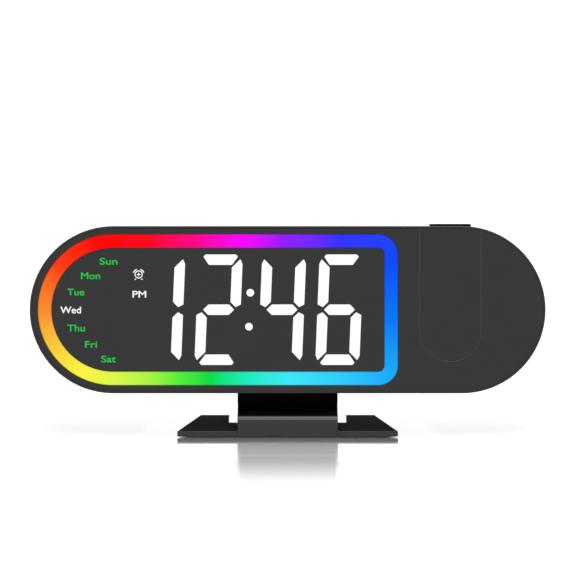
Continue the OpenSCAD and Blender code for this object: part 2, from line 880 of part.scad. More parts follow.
// The battery bay, with a ledge for its door and a hole for the door's screw.
module battery_bay() {
    difference() {
        block(door_x, door_z, door_w - 2 * bay_ledge, door_h - 2 * bay_ledge, bay_floor, case_d + 1);
        rod(door_screw_x, door_z, 3, bay_floor - 1, case_d - door_t);
        block(door_screw_x, door_z, 5, door_h, bay_floor - 1, case_d - door_t);
    }
    block(door_x, door_z, door_w, door_h, case_d - door_t, case_d + 1);
    rod(door_screw_x, door_z, arm_screw_r + screw_gap, bay_floor - bay_wall + 1, case_d);
}

// One lug of the tilt hinge, blended into the rear wall.
module lug(side) {
    x0 = side > 0 ? lug_in : -lug_in - lug_w;
    across(x0, x0 + lug_w) {
        translate([case_d + hinge_out, -hinge_drop]) circle(barrel_r);
        polygon([
            [rear_inner, -hinge_drop - barrel_r], [case_d + hinge_out, -hinge_drop - barrel_r],
            [case_d + hinge_out, barrel_r - hinge_drop], [case_d, lug_rise * barrel_r - hinge_drop],
            [rear_inner, lug_rise * barrel_r - hinge_drop]
        ]);
    }
}

// One of the two arms that the snooze switch's board lies on.
module snooze_bracket(side) {
    w = snooze_bracket_w;
    translate([side * snooze_bracket_x - w / 2, front_d + 3, snooze_board_z - w])
        cube([w, rear_inner + 1 - front_d - 3, w]);
}

module case_screws() {
    color(steel) clock_frame()
        for (p = case_screws_xz) {
            screw_top = screw_floor + screw_head_t;
            difference() {
                rod(p[0], p[1], screw_head_r, screw_floor, screw_top);
                slab(screw_top - recess_d, screw_top + 1) translate(p) cross_outline(screw_head_r);
            }
            rod(p[0], p[1], screw_r, screw_floor + screw_head_t / 2 - screw_l, screw_floor + head_joint);
        }
}

// ---- Front stack ----

module outer_panel() {
    color(lens_black) clock_frame()
        difference() {
            slab(panel_front, seat_y) case_outline(rim_w + 0.1);
            slab(panel_front - 1, seat_y + 1) ring_outline(-panel_gap);
            slab(panel_front - 1, panel_front + groove_d) difference() {
                well_outline(well_r, case_h / 2);
                well_outline(well_r - groove_w, far);
            }
        }
}

module light_ring() {
    color("#f4f4f4") clock_frame()
        difference() {
            slab(panel_front, ring_board_front) difference() {
                ring_outline(0);
                ring_outline(ring_band);
            }
            slab(panel_front + ring_t, ring_board_front + 1) difference() {
                ring_outline(ring_leg);
                ring_outline(ring_band - ring_leg);
            }
        }
}

// Places of the lamps along the ring's middle line: the arc, then the straight side and the two runs.
function ring_lamps() =
    let (
        r = ring_h / 2 - ring_band / 2,
        right = ring_right - ring_band / 2,
        arc_n = floor(PI * r / lamp_pitch),
        run_n = floor((right - ring_arc_x - ring_corner_r) / lamp_pitch),
        side_n = floor((r - ring_corner_r) / lamp_pitch)
    )
    concat(
        [for (i = [1:arc_n - 1]) [ring_arc_x - r * sin(180 * i / arc_n), r * cos(180 * i / arc_n)]],
        [for (i = [0:run_n]) for (s = [-1, 1]) [ring_arc_x + i * lamp_pitch, s * r]],
        [for (i = [-side_n:side_n]) [right, i * lamp_pitch]]
    );

module ring_led_board() {
    color("#e9e9e4") clock_frame() {
        slab(ring_board_front, channel_floor) difference() {
            ring_outline(0);
            ring_outline(ring_band);
        }
        for (p = ring_lamps())
            block(p[0], p[1], lamp_size, lamp_size, ring_board_front - lamp_t, ring_board_front);
    }
}

module display_lens() {
    color(lens_black) clock_frame() slab(panel_front, seat_y) ring_outline(ring_band + panel_gap);
}

module display_reflector() {
    color("#18191b") clock_frame() {
        difference() {
            slab(seat_y, channel_back) ring_outline(wall_in + 0.1);
            for (i = [0:3])
                slab(seat_y - 1, channel_back + 1) translate([digit_xs[i], 0]) bars_outline(i == 0);
            slab(seat_y - 1, channel_back + 1) translate([colon_x, 0]) dots_outline(0);
            for (spot = day_spots) slab(seat_y - 1, channel_back + 1) sign_window(spot, day_w, 0);
            for (spot = status_spots) slab(seat_y - 1, channel_back + 1) sign_window(spot, status_w, 0);
        }
        for (p = reflector_pegs())
            rod(p[0], p[1], peg_r, channel_back - 1, display_board_back + peg_proud);
    }
}

function reflector_pegs() = [
    for (s = [-1, 1])
        for (x = [ring_arc_x + peg_along, ring_right - wall_in - peg_in])
            [x, s * (free_r - peg_in)]
];

// The diffusers of one digit; each lies in its own cavity, in front of its lamp.
module digit(i) {
    color("#f2f2f0") clock_frame()
        slab(seat_y, channel_back - lamp_room) translate([digit_xs[i], 0]) bars_outline(i == 0);
}

module hour_tens() {
    digit(0);
}

module hour_units() {
    digit(1);
}

module minute_tens() {
    digit(2);
}

module minute_units() {
    digit(3);
}

module colon_dots() {
    color("#f2f2f0") clock_frame()
        slab(seat_y, channel_back - lamp_room) translate([colon_x, 0]) dots_outline(-insert_fit);
}

module weekday_guides() {
    color("#dfe8df") clock_frame()
        for (spot = day_spots)
            slab(seat_y, channel_back - lamp_room) sign_window(spot, day_w, -insert_fit);
}

module status_guides() {
    color("#f2f2f0") clock_frame()
        for (spot = status_spots)
            slab(seat_y, channel_back - lamp_room) sign_window(spot, status_w, -insert_fit);
}

// Middle of each bar of a digit, where its lamp stands.
function bar_middles(a, b, first) = concat(
    [for (s = [-1, 1]) [0, s * (b - bar_w / 2)]],
    [
        for (sx = [-1, 1])
            for (sz = [-1, 1])
                if (!(first && sx < 0 && sz > 0)) [sx * (a - bar_w / 2), sz * b / 2]
    ],
    [[0, 0]]
);

module display_lamp(x, z, size) {
    block(x, z, size, size, channel_back - lamp_t, channel_back + board_t / 2);
}

module display_board() {
    color(board_green) clock_frame()
        difference() {
            union() {
                slab(channel_back, display_board_back) ring_outline(wall_in - 0.9);
                for (i = [0:3])
                    for (p = bar_middles(digit_w / 2, digit_h / 2, i == 0))
                        display_lamp(digit_xs[i] + slanted(p)[0], p[1], lamp_size);
                for (s = [-1, 1])
                    display_lamp(colon_x + slanted([0, s * dot_z])[0], s * dot_z, dot_lamp_size);
                for (spot = concat(day_spots, status_spots))
                    display_lamp(ring_arc_x + spot[0] + status_w / 2, spot[1] + day_h / 2 - day_margin,
                                 lamp_size);
            }
            for (p = reflector_pegs())
                rod(p[0], p[1], peg_r + insert_fit, channel_back - 1, display_board_back + 1);
        }
}

// ---- Electronics in the rear half ----

module tact_switch(x, z, back, tip) {
    block(x, z, switch_size, switch_size, back, back + switch_t);
    rod(x, z, plunger_r, back + switch_t - 0.5, tip);
}

module main_board() {
    color(board_green) clock_frame()
        difference() {
            union() {
                translate([main_x0, main_front, -main_z]) cube([main_x1 - main_x0, board_t, 2 * main_z]);
                for (x = button_xs)
                    tact_switch(x, button_z, main_back - 0.2, button_inner - button_travel - plunger_gap);
                for (c = chips)
                    block(main_x0 + c[0], c[1], c[2], c[3], main_front - chip_t, main_front + 0.2);
                for (x = capacitor_xs)
                    rod(x, capacitor_z, capacitor_r, display_board_back + capacitor_gap, main_front + 0.2);
                block(header_x, header_z, header_l, header_w, display_board_back, main_front + 0.2);
            }
            for (p = standoffs) rod(p[0], p[1], board_screw_r + 0.2, main_front - 1, main_back + 1);
        }
}

module board_screws() {
    color(steel) clock_frame()
        for (p = standoffs) {
            rod(p[0], p[1], board_screw_head_r, main_front - board_screw_head_t, main_front);
            rod(p[0], p[1], board_screw_r, main_front - head_joint, main_front - head_joint + board_screw_l);
        }
}

module snooze_switch() {
    color(board_green) clock_frame() {
        translate([-snooze_board_w / 2, snooze_y - snooze_board_d / 2, snooze_board_z])
            cube([snooze_board_w, snooze_board_d, board_t]);
        translate([0, snooze_y, snooze_board_z + board_t]) {
            translate([-switch_size / 2, -switch_size / 2, 0]) cube([switch_size, switch_size, switch_t]);
            cylinder(r = plunger_r, h = switch_t + 0.05);
        }
    }
}

// The loudspeaker: a dished cone inside a flat flange, a tapered basket and a round magnet.
module loudspeaker() {
    r = speaker_d / 2;
    flange_t = 0.28 * speaker_h;
    basket_t = 0.66 * speaker_h;
    color("#3a3b3e") clock_frame()
        translate([speaker_x, rear_inner, 0]) rotate([90, 0, 0]) rotate_extrude()
            polygon([
                [0, 0.25 * speaker_h], [magnet_r / 2, 0.19 * speaker_h],
                [r - speaker_flange, 0.06 * speaker_h], [r - 0.8 * speaker_flange, 0], [r, 0],
                [r, flange_t], [r - 2 * speaker_flange, 0.47 * speaker_h], [magnet_r, basket_t],
                [magnet_r, speaker_h], [0, speaker_h]
            ]);
}

module coin_cell() {
    color(steel) clock_frame() {
        rod(cell_x, door_z, cell_d / 2, bay_floor + contact_t, bay_floor + contact_t + cell_t - 0.6);
        rod(cell_x, door_z, cell_d / 2 - cell_rim, bay_floor + contact_t, bay_floor + contact_t + cell_t);
    }
}

module battery_contact() {
    color("#c9b26a") clock_frame() {
        block(cell_x, door_z, contact_w, contact_l, bay_floor, bay_floor + contact_t);
        block(cell_x - cell_d / 2 - contact_t, door_z, contact_t, contact_w,
              bay_floor, bay_floor + cell_t + 1.4);
        block(cell_x - cell_d / 4, door_z, cell_d / 2, 5, bay_floor, bay_floor + contact_t);
    }
}

module battery_door() {
    color(satin) clock_frame()
        difference() {
            block(door_x, door_z, door_w - 2 * door_gap, door_h - 2 * door_gap,
                  case_d - door_t, case_d - 0.1);
            rod(door_screw_x, door_z, arm_screw_r + 0.2, case_d - door_t - 1, case_d);
            rod(door_screw_x, door_z, arm_screw_head_r + 0.2, door_screw_seat, case_d);
            for (i = [1:door_grips])
                block(door_x - door_w / 2 + cell_side + (i - 0.33) * door_grip_pitch, door_z,
                      door_grip_pitch / 2, door_h / 2, case_d - 0.6, case_d);
        }
}

module door_screw() {
    color(steel) clock_frame() {
        difference() {
            rod(door_screw_x, door_z, arm_screw_head_r, door_screw_seat, door_screw_top);
            slab(door_screw_top - small_recess_d, case_d) translate([door_screw_x, door_z])
                cross_outline(arm_screw_head_r);
        }
        rod(door_screw_x, door_z, arm_screw_r, door_screw_top - door_screw_l, door_screw_seat + head_joint);
    }
}

// A USB-A socket that stands on the main board and opens to the rear.
module usb_port() {
    color(steel) clock_frame() {
        difference() {
            block(usb_x, usb_z, usb_w, usb_h, main_back, port_front);
            block(usb_x, usb_z, usb_w - 2 * usb_shell, usb_h - 2 * usb_shell,
                  main_back + 1.2, port_front + 1);
        }
        block(usb_x, usb_z + 1, usb_w - 3, 1.8, main_back + 1, port_front - 1);
    }
}

// The housing of the round power inlet.
module power_jack() {
    color("#2a2b2e") clock_frame() difference() {
        union() {
            block(jack_x, jack_z, jack_size, jack_size, main_back, rear_inner - 0.2);
            rod(jack_x, jack_z, jack_r, main_back + 1, port_front);
        }
        rod(jack_x, jack_z, jack_bore_r, jack_floor, case_d + 1);
    }
}

// The contact pin in the middle of the inlet.
module power_jack_pin() {
    color(steel) clock_frame() rod(jack_x, jack_z, jack_pin_r, jack_floor, port_front - 1.2);
}

// ---- Projector arm ----

// The arm as a solid, moved inwards by inset. Its lower end is a ball behind the pivot and a swept
// round in front of it, so that it turns inside the well without touching.
module arm_block(inset) {
    r = arm_w / 2 - inset;
    intersection() {
        union() {
            translate([arm_x - r, arm_front, pivot_z]) cube([2 * r, arm_back - arm_front, arm_top - pivot_z]);
            translate([arm_x, pivot_y, pivot_z]) rotate([-90, 0, 0]) rotate_extrude()
                intersection() {
                    circle(r);
                    square(r);
                }
            intersection() {
                rod(arm_x, pivot_z, r, arm_front, pivot_y);
                across(arm_x - r, arm_x + r) translate([pivot_y, pivot_z]) circle(sweep_r - inset);
            }
        }
        translate([arm_x, 0, pivot_z - r - 1]) linear_extrude(far) arm_section(inset);
        case_solid(inset, 0, case_d - inset, 0, rear_edge_r - inset);
    }
}

// The arm's rounded cross-section, seen from above.
module arm_section(inset) {
    r = arm_edge_r - inset;
    x = arm_w / 2 - arm_edge_r;
    for (sx = [-1, 1])
        for (y = [arm_front + arm_edge_r, arm_back - arm_edge_r])
            translate([sx * x, y]) circle(r);
    translate([-x, arm_front + inset]) square([2 * x, arm_back - arm_front - 2 * inset]);
    translate([-x - r, arm_front + arm_edge_r]) square([2 * (x + r), arm_back - arm_front - 2 * arm_edge_r]);
}

// Both shells of the arm in one: walls, top, cradles for the tube, pivot bosses and screw boss.
module arm_shells() {
    difference() {
        arm_block(0);
        difference() {
            arm_block(arm_wall);
            translate([arm_x - arm_w, 0, cavity_top]) cube([2 * arm_w, 2 * case_d, far]);
            for (z = cradles) translate([arm_x - arm_w, 0, z]) cube([2 * arm_w, 2 * case_d, cradle_t]);
            for (s = [-1, 1])
                across(arm_x + s * (arm_w / 2 - arm_boss_l / 2) - arm_boss_l / 2,
                       arm_x + s * (arm_w / 2 - arm_boss_l / 2) + arm_boss_l / 2)
                    translate([pivot_y, pivot_z]) circle(pivot_boss_r);
            rod(arm_x, arm_screw_z, arm_screw_boss_r, 0, 2 * case_d);
        }
        translate([arm_x, arm_mid, 0]) {
            translate([0, 0, tube_bottom - far]) cylinder(r = tube_d / 2 + optic_fit, h = far + tube_l + 1);
            translate([0, 0, cavity_top - 1]) cylinder(r = focus_neck_d / 2 + focus_gap, h = far);
            translate([0, 0, dish_z]) cylinder(r = focus_d / 2 + focus_gap, h = far);
        }
        for (i = [0:grip_lines - 1])
            block(arm_x, grip_top_z - i * grip_pitch, arm_w - 2 * arm_edge_r, grip_line_w,
                  arm_back - grip_line_d, arm_back + 1);
    }
}

module arm_front_shell() {
    color(satin) clock_frame()
        difference() {
            arm_shells();
            translate([0, arm_mid, -far]) cube([far, case_d, 2 * far]);
            rod(arm_x, arm_screw_z, arm_screw_r + screw_gap, arm_front + 3, arm_mid + 1);
        }
}

module arm_rear_shell() {
    color(satin) clock_frame()
        difference() {
            arm_shells();
            translate([0, arm_mid - 2 * case_d, -far]) cube([far, 2 * case_d, 2 * far]);
            across(arm_x - arm_w, arm_x + arm_w) translate([pivot_y, pivot_z]) circle(pivot_r + run_fit);
            rod(arm_x, arm_screw_z, arm_screw_r + 0.2, arm_mid - 1, arm_back + 1);
            rod(arm_x, arm_screw_z, arm_screw_head_r + 0.2, arm_screw_seat, arm_back + 1);
        }
}

module arm_screw() {
    color(steel) clock_frame() {
        difference() {
            rod(arm_x, arm_screw_z, arm_screw_head_r, arm_screw_seat, arm_screw_top);
            slab(arm_screw_top - small_recess_d, arm_back) translate([arm_x, arm_screw_z])
                cross_outline(arm_screw_head_r);
        }
        rod(arm_x, arm_screw_z, arm_screw_r, arm_mid - 5, arm_screw_seat + head_joint);
    }
}

// Two stub pins, each held in a boss of the rear case and running in the arm.
module arm_pivot_pins() {
    color(steel) clock_frame()
        for (s = [-1, 1])
            translate([arm_x + s * (well_r + pivot_boss_l - pivot_l / 2 - 0.3), pivot_y, pivot_z])
                rotate([0, 90, 0]) cylinder(r = pivot_r, h = pivot_l, center = true);
}

module lens_axis() {
    translate([arm_x, arm_mid, 0]) children();
}

module projector_tube() {
    color(black) clock_frame() lens_axis() translate([0, 0, tube_bottom]) difference() {
        cylinder(r = tube_d / 2, h = tube_l);
        translate([0, 0, -1]) cylinder(r = tube_d / 2 - tube_wall, h = tube_l + 2);
    }
}

module projector_led_board() {
    color("#e9e9e4") clock_frame() lens_axis() {
        translate([0, 0, tube_bottom - led_board_t]) cylinder(r = tube_d / 2, h = led_board_t);
        translate([0, 0, tube_bottom - 0.2]) cylinder(r = led_r, h = led_t + 0.2);
    }
}

module condenser_lens() {
    color("#cfe3ea") clock_frame() lens_axis() translate([0, 0, tube_bottom + condenser_up]) intersection() {
        cylinder(r = tube_d / 2 - tube_wall - optic_fit, h = condenser_t);
        translate([0, 0, condenser_t - tube_d / 2]) sphere(tube_d / 2);
    }
}

module projector_lcd() {
    side = (tube_d / 2 - tube_wall - optic_fit) * sqrt(2);
    color("#4b5a54") clock_frame() lens_axis()
        translate([-side / 2, -side / 2, tube_bottom + lcd_up]) cube([side, side, lcd_t]);
}

module focus_ring() {
    color(black) clock_frame() lens_axis() difference() {
        rotate_extrude() polygon([
            [lens_d / 2 + optic_fit, flange_bottom], [focus_flange_d / 2, flange_bottom],
            [focus_flange_d / 2, flange_top], [focus_neck_d / 2, flange_top],
            [focus_neck_d / 2, grip_bottom], [focus_d / 2, grip_bottom],
            [focus_d / 2, grip_top - 0.3], [focus_d / 2 - 0.3, grip_top],
            [lens_d / 2 + 0.8, grip_top], [lens_d / 2 - 0.5, lens_top], [lens_d / 2 + optic_fit, lens_top]
        ]);
        for (i = [0:focus_notches - 1])
            rotate([0, 0, 360 * i / focus_notches]) translate([focus_d / 2 + 0.15, 0, grip_bottom - 1])
                cylinder(r = 0.4, h = 4);
    }
}

module projector_lens() {
    curve_r = 1.6 * lens_d;
    color("#9a2a2a") clock_frame() lens_axis() translate([0, 0, lens_top - lens_t]) intersection() {
        cylinder(r = lens_d / 2, h = lens_t);
        translate([0, 0, lens_t - curve_r]) sphere(curve_r);
    }
}

// ---- Buttons ----

// The snooze bar: a keeping lip under a stadium with a chamfered top edge.
module snooze_button() {
    r = snooze_w / 2;
    bottom = snooze_lip_top - snooze_lip_t;
    top = case_h / 2;
    half_bar = [[0, bottom], [r, bottom], [r, top - snooze_chamfer], [r - snooze_chamfer, top], [0, top]];
    color(satin) clock_frame() translate([0, snooze_y, 0]) {
        translate([0, 0, bottom]) linear_extrude(snooze_lip_t)
            stadium(snooze_l + 2 * button_lip, snooze_w + 2 * button_lip);
        for (s = [-1, 1]) translate([s * (snooze_l / 2 - r), 0, 0]) rotate_extrude() polygon(half_bar);
        across(r - snooze_l / 2, snooze_l / 2 - r) for (side = [0, 1]) mirror([side, 0]) polygon(half_bar);
    }
}

// A round button with a rounded rim and a keeping lip, at place i of the rear row.
module rear_button(i) {
    r = button_d / 2;
    tip = case_d + button_proud;
    color(satin) clock_frame()
        translate([button_xs[i], 0, button_z]) rotate([-90, 0, 0]) rotate_extrude()
            polygon([
                [0, button_inner], [r + button_lip, button_inner],
                [r + button_lip, button_inner + button_lip_t], [r, button_inner + button_lip_t],
                [r, tip - 0.4], [r - 0.15, tip - 0.15], [r - 0.5, tip],
                [r - 1.2, tip], [0, tip - 0.35]
            ]);
}

module button_set() {
    rear_button(0);
}

module button_up() {
    rear_button(1);
}

module button_down() {
    rear_button(2);
}

module button_alarm() {
    rear_button(3);
}

module button_projector() {
    rear_button(4);
}

module button_light() {
    rear_button(5);
}

stand_base();
base_pad();
stand_neck();
stand_screws();
tilt_pin();
front_case();
rear_case();
case_screws();
outer_panel();
light_ring();
ring_led_board();
display_lens();
display_reflector();
hour_tens();
hour_units();
colon_dots();
minute_tens();
minute_units();
weekday_guides();
status_guides();
display_board();
main_board();
board_screws();
snooze_switch();
loudspeaker();
coin_cell();
battery_contact();
battery_door();
door_screw();
usb_port();
power_jack();
power_jack_pin();
arm_pivot_pins();
arm_front_shell();
arm_rear_shell();
arm_screw();
projector_tube();
projector_led_board();
condenser_lens();
projector_lcd();
focus_ring();
projector_lens();
snooze_button();
button_set();
button_up();
button_down();
button_alarm();
button_projector();
button_light();
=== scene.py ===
"""Finishes, lit display and small trim of a projection alarm clock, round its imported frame.

Sizes are in millimetres where no comment says otherwise, and become metres when a piece is made. The
clock leans back on its stand, so its pieces are drawn on its own axes, x across, y behind the front face
and z up the face, and then leaned.
"""

import json
import math

import bmesh
import bpy
import numpy as np
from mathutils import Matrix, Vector


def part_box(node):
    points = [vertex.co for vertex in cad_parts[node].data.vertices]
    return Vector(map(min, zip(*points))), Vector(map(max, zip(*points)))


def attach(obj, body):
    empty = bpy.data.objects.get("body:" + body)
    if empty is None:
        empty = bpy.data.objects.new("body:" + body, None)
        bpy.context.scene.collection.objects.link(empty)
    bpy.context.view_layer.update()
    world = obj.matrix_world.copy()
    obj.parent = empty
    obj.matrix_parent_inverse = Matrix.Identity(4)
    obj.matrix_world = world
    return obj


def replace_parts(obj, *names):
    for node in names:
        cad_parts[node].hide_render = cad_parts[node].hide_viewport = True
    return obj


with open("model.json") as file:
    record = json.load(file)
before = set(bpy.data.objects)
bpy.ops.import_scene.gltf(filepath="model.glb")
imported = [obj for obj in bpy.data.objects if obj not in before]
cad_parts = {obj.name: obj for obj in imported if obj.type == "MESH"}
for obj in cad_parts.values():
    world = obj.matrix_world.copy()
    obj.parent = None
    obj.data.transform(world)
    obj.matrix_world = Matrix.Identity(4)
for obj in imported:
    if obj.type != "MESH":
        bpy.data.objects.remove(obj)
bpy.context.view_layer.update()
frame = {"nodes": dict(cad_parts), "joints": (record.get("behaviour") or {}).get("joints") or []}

MM = 0.001
JOINTS = {joint["name"]: joint for joint in frame["joints"]}

# ---- The clock's own axes, from its joints ----

# The focus ring turns about z, and a button is pressed along -y.
ACROSS = np.array([1.0, 0.0, 0.0])
DEEP = -np.array(JOINTS["set_press"]["axis"])
UP = np.array(JOINTS["focus_turn"]["axis"])
AXES = np.array([ACROSS, DEEP, UP])


def mesh_points(mesh):
    """The vertices of a mesh as rows of x, y and z, in metres."""
    points = np.empty(3 * len(mesh.vertices), np.float32)
    mesh.vertices.foreach_get("co", points)
    return points.reshape(-1, 3).astype(float)


def reach(node, origin=0.0):
    """Lowest and highest corner of a CAD node along the clock's own axes, from origin, in millimetres."""
    along = mesh_points(frame["nodes"][node].data) @ AXES.T / MM - origin
    return along.min(0), along.max(0)


def face_middle():
    """The middle of the front rim's front face, in millimetres along the clock's own axes."""
    low, high = reach("front_case")
    return np.array([(low[0] + high[0]) / 2, low[1], (low[2] + high[2]) / 2])


ORIGIN = face_middle()


def middle(node):
    """The middle of a CAD node along the clock's own axes, from the front face's middle, in millimetres."""
    low, high = reach(node, ORIGIN)
    return (low + high) / 2


def leaned(points):
    """Points in millimetres on the clock's own axes, as places in the frame in metres."""
    return (np.asarray(points, float) + ORIGIN) * MM @ AXES


def upright(points):
    """Points in millimetres on the frame's own axes, in metres."""
    return np.asarray(points, float) * MM


# ---- Sizes read from the frame ----

PANEL_Y = reach("outer_panel", ORIGIN)[0][1]
RING_LOW, RING_HIGH = reach("light_ring", ORIGIN)
RING_R = RING_HIGH[2]
RING_BAND = RING_HIGH[2] - reach("display_lens", ORIGIN)[1][2]
RING_ARC_X = RING_LOW[0] + RING_R
ARM_X = middle("focus_ring")[0]

# ---- Sizes that the frame doesn't give, in millimetres ----

# The lit ring: radius of its corners, rounding of its front and back edges, and the gap along each side.
RING_CORNER_R = 8.6
RING_ROUND = 0.3
RING_BACK_ROUND = 0.1
RING_GAP = 0.1

# How far lit shapes stand out of the display lens, and how far they reach into it.
GLOW_PROUD = 0.04
GLOW_SUNK = 0.03

# The lit bars of the digits: what they stop short of their inserts, their width, the gap between two bars,
# how far their tips are cut off, the rounding of their corners, and the digits' slant.
BAR_INSET = 0.13
BAR_W = 4.5
BAR_GAP = 1.1
BAR_CUT = 0.95
BAR_ROUND = 0.3
SLANT = math.tan(math.radians(2.3))

# The colon's dots: radius, and height over the middle.
DOT_R = 1.64
DOT_Z = 7.3

# The small alarm clock: its place, the inner and outer radius of its ring and of its bells, a bell's turn
# from upright and half its arc in degrees, both ends of a foot, half a hand's length, and line widths.
ALARM_PLACE = (-64.1, 15.15)
SIGN_RING = (1.34, 1.74)
SIGN_BELL = (2.12, 2.58)
BELL_TURN = 45
BELL_HALF_ARC = 26
SIGN_FOOT = ((1.2, -1.85), (1.6, -2.25))
SIGN_HAND = 0.78
SIGN_LINE = 0.36
FOOT_LINE = 0.46

# The marks printed on the rear: depth of the flat rear face, which the hinge's lugs stand out of, thickness
# of the ink, height over the buttons, width of the lines, half the length of plus and minus, and width and
# height of the word.
REAR_Y = 32.0
MARK_T = 0.02
MARK_UP = 2.5
MARK_LINE = 0.36
MARK_BAR = 1.35
WORD_W = 5.2
WORD_H = 2.4
# The alarm clock's size there against the one on the display, the sun's dot and where its rays start and
# end, the lamp house's half width, bottom and top, and its rays' spread and height at both ends.
MARK_CLOCK = 0.75
SUN_DOT = 0.7
SUN_RAY = (1.1, 1.7)
HOUSE = (0.9, -1.6, -0.55)
RAY_SPREAD = (0.52, 1.3)
RAY_HEIGHT = (-0.1, 1.5)

# Rounding of the sharp edges of the base plate, the neck, the front panel and the charging socket.
BASE_EDGE = 0.2
NECK_EDGE = 0.15
PANEL_EDGE = 0.06
USB_EDGE = 0.05

# The groove in the front panel: its depth, the play by which its faces are told from the panel's front, and
# how far at least it lies right of the light ring and inside the ring's height.
GROOVE_D = 0.15
GROOVE_NEAR = 0.02
GROOVE_CLEAR = 2.0

# The charging socket's tongue: width, thickness, height over the socket's middle, the play by which its faces
# are told from the shell's, and how far at least it ends inside the socket's mouth.
TONGUE_W = 10.1
TONGUE_T = 1.8
TONGUE_UP = 1.0
TONGUE_NEAR = 0.05
TONGUE_IN = 0.5
# Its contacts: their places across, half width and thickness, and what they stop short of the socket's
# back and mouth.
CONTACTS = np.array([-3.5, -1.0, 1.0, 3.5])
CONTACT_HALF = 0.5
CONTACT_T = 0.05
CONTACT_BACK = 3.0
CONTACT_FRONT = 2.0

# The weekday names round the inside of the ring, each with its left end and baseline and its width. Their
# height over the baseline, the day that is lit white, and PM's place and width.
WEEKDAYS = [
    ("Sun", (-80.9, 19.45), 7.7), ("Mon", (-88.9, 13.2), 8.2), ("Tue", (-94.8, 6.2), 7.3),
    ("Wed", (-97.8, -1.5), 8.9), ("Thu", (-94.8, -9.3), 7.6), ("Fri", (-87.2, -16.35), 5.2),
    ("Sat", (-80.2, -22.6), 6.3),
]
NAME_HEIGHT = 2.85
TODAY = "Wed"
PM_PLACE = (-66.75, 5.25)
PM_W = 5.9
# How far the outlines of the built-in font are thickened, in its own units.
BOLD = 0.013

# The stand's neck: radius of its nose, its thickness, inner radius of its bend, radius of its hinge barrel,
# how far under the hinge the riser's sides end, and where the barrel's arc starts and ends in degrees.
NOSE_R = 3.8
NECK_T = 6.8
BEND_R = 4.0
BARREL_R = 4.0
BARREL_FOOT = 2.2
BARREL_ARC = (205, -25)
# How far in front of the bend's middle the riser's flat black starts, which is painted shade.
RISER_FROM = 4.0
# What each side of the base draws in from front to back, and width and length of its slots.
BASE_SIDE = 10.0
SLOT_W = 3.6
SLOT_L = 24.0

# ---- Shapes ----

# Points on a rounded corner, and points across the lit ring's flat front.
CORNER_STEPS = 5
FRONT_STEPS = 13

# Which of a prism's u, v and w become x, y and z: in the clock's face, on the floor, and in a side view.
FACE_ORDER = [0, 2, 1]
FLOOR_ORDER = [0, 1, 2]
SIDE_ORDER = [2, 0, 1]

# Distances in metres under which two points are one, in a new piece and in a CAD node, and under which an
# edge is a sliver. Angle in degrees under which CAD triangles lie in one face.
SEAM = 1e-7
CAD_SEAM = 2e-6
SLIVER = 1e-6
FLAT = 0.3

# Angles in degrees over which an edge stays sharp, in a new piece, in a copy of a CAD node and in the neck.
SHARP = 30
CAD_SHARP = 32
NECK_SHARP = 25

# Share of a face's direction along an axis over which it counts as facing that way.
FACING = 0.5


def arc(centre, radius, start, end, step):
    """Points of an arc and their outward directions: centre + radius * (cos a, sin a), where a runs from
    start to end in steps of about step degrees."""
    count = max(2, int(round(abs(end - start) / step)) + 1)
    angle = np.radians(np.linspace(start, end, count))
    outward = np.stack([np.cos(angle), np.sin(angle)], 1)
    return np.asarray(centre, float) + radius * outward, outward


def joined(*arcs):
    """One closed path from arcs in order: their points and their outward directions, end to end."""
    return np.concatenate([a[0] for a in arcs]), np.concatenate([a[1] for a in arcs])


def ring_path():
    """The light ring's outer outline, from the top of its half round end, anticlockwise."""
    side = RING_HIGH[0] - RING_CORNER_R
    top = RING_R - RING_CORNER_R
    return joined(
        arc((RING_ARC_X, 0), RING_R, 90, 270, 2.0),
        arc((side, -top), RING_CORNER_R, 270, 360, 6.0),
        arc((side, top), RING_CORNER_R, 0, 90, 6.0),
    )


def rounded(corners, radius):
    """An outline with each corner cut back by radius along both sides and bridged by a parabola:
    (1-t)^2 * start + 2t(1-t) * corner + t^2 * end."""
    corners = np.asarray(corners, float)
    radius = np.broadcast_to(np.asarray(radius, float), len(corners))[:, None]
    sides = [np.roll(corners, turn, 0) - corners for turn in (1, -1)]
    lengths = [np.linalg.norm(side, axis=1, keepdims=True) for side in sides]
    start, end = (corners + side / length * radius for side, length in zip(sides, lengths))
    t = np.linspace(0, 1, CORNER_STEPS)[None, :, None]
    curve = (1 - t) ** 2 * start[:, None] + 2 * t * (1 - t) * corners[:, None] + t**2 * end[:, None]
    return curve.reshape(-1, 2)


def swept(path, outward, profile):
    """A closed profile carried round a closed path in the face's plane. Profile points are (offset, depth):
    each lands at path + outward * offset, at that depth. Gives points [path, profile, xyz]."""
    flat = path[:, None] + outward[:, None] * profile[None, :, :1]
    depth = np.broadcast_to(profile[None, :, 1], flat.shape[:2])
    return np.stack([flat[..., 0], depth, flat[..., 1]], -1)


def grid_quads(rows, columns):
    """The quads between neighbouring points of a grid that closes on itself both ways."""
    row, column = np.arange(rows)[:, None], np.arange(columns)[None, :]
    next_row, next_column = (row + 1) % rows, (column + 1) % columns
    corners = [
        row * columns + column,
        row * columns + next_column,
        next_row * columns + next_column,
        next_row * columns + column,
    ]
    return np.stack(corners, -1).reshape(-1, 4)


def prism(outline, low, high, order):
    """An outline of (u, v) points drawn out from low to high along w. order places u, v and w in x, y, z."""
    count = len(outline)
    ends = [np.column_stack([outline, np.full(count, w)]) for w in (low, high)]
    points = np.concatenate(ends)[:, order]
    ring = np.arange(count)
    sides = np.stack([ring, (ring + 1) % count, (ring + 1) % count + count, ring + count], 1)
    return points, [ring[::-1].tolist(), (ring + count).tolist(), *sides.tolist()]


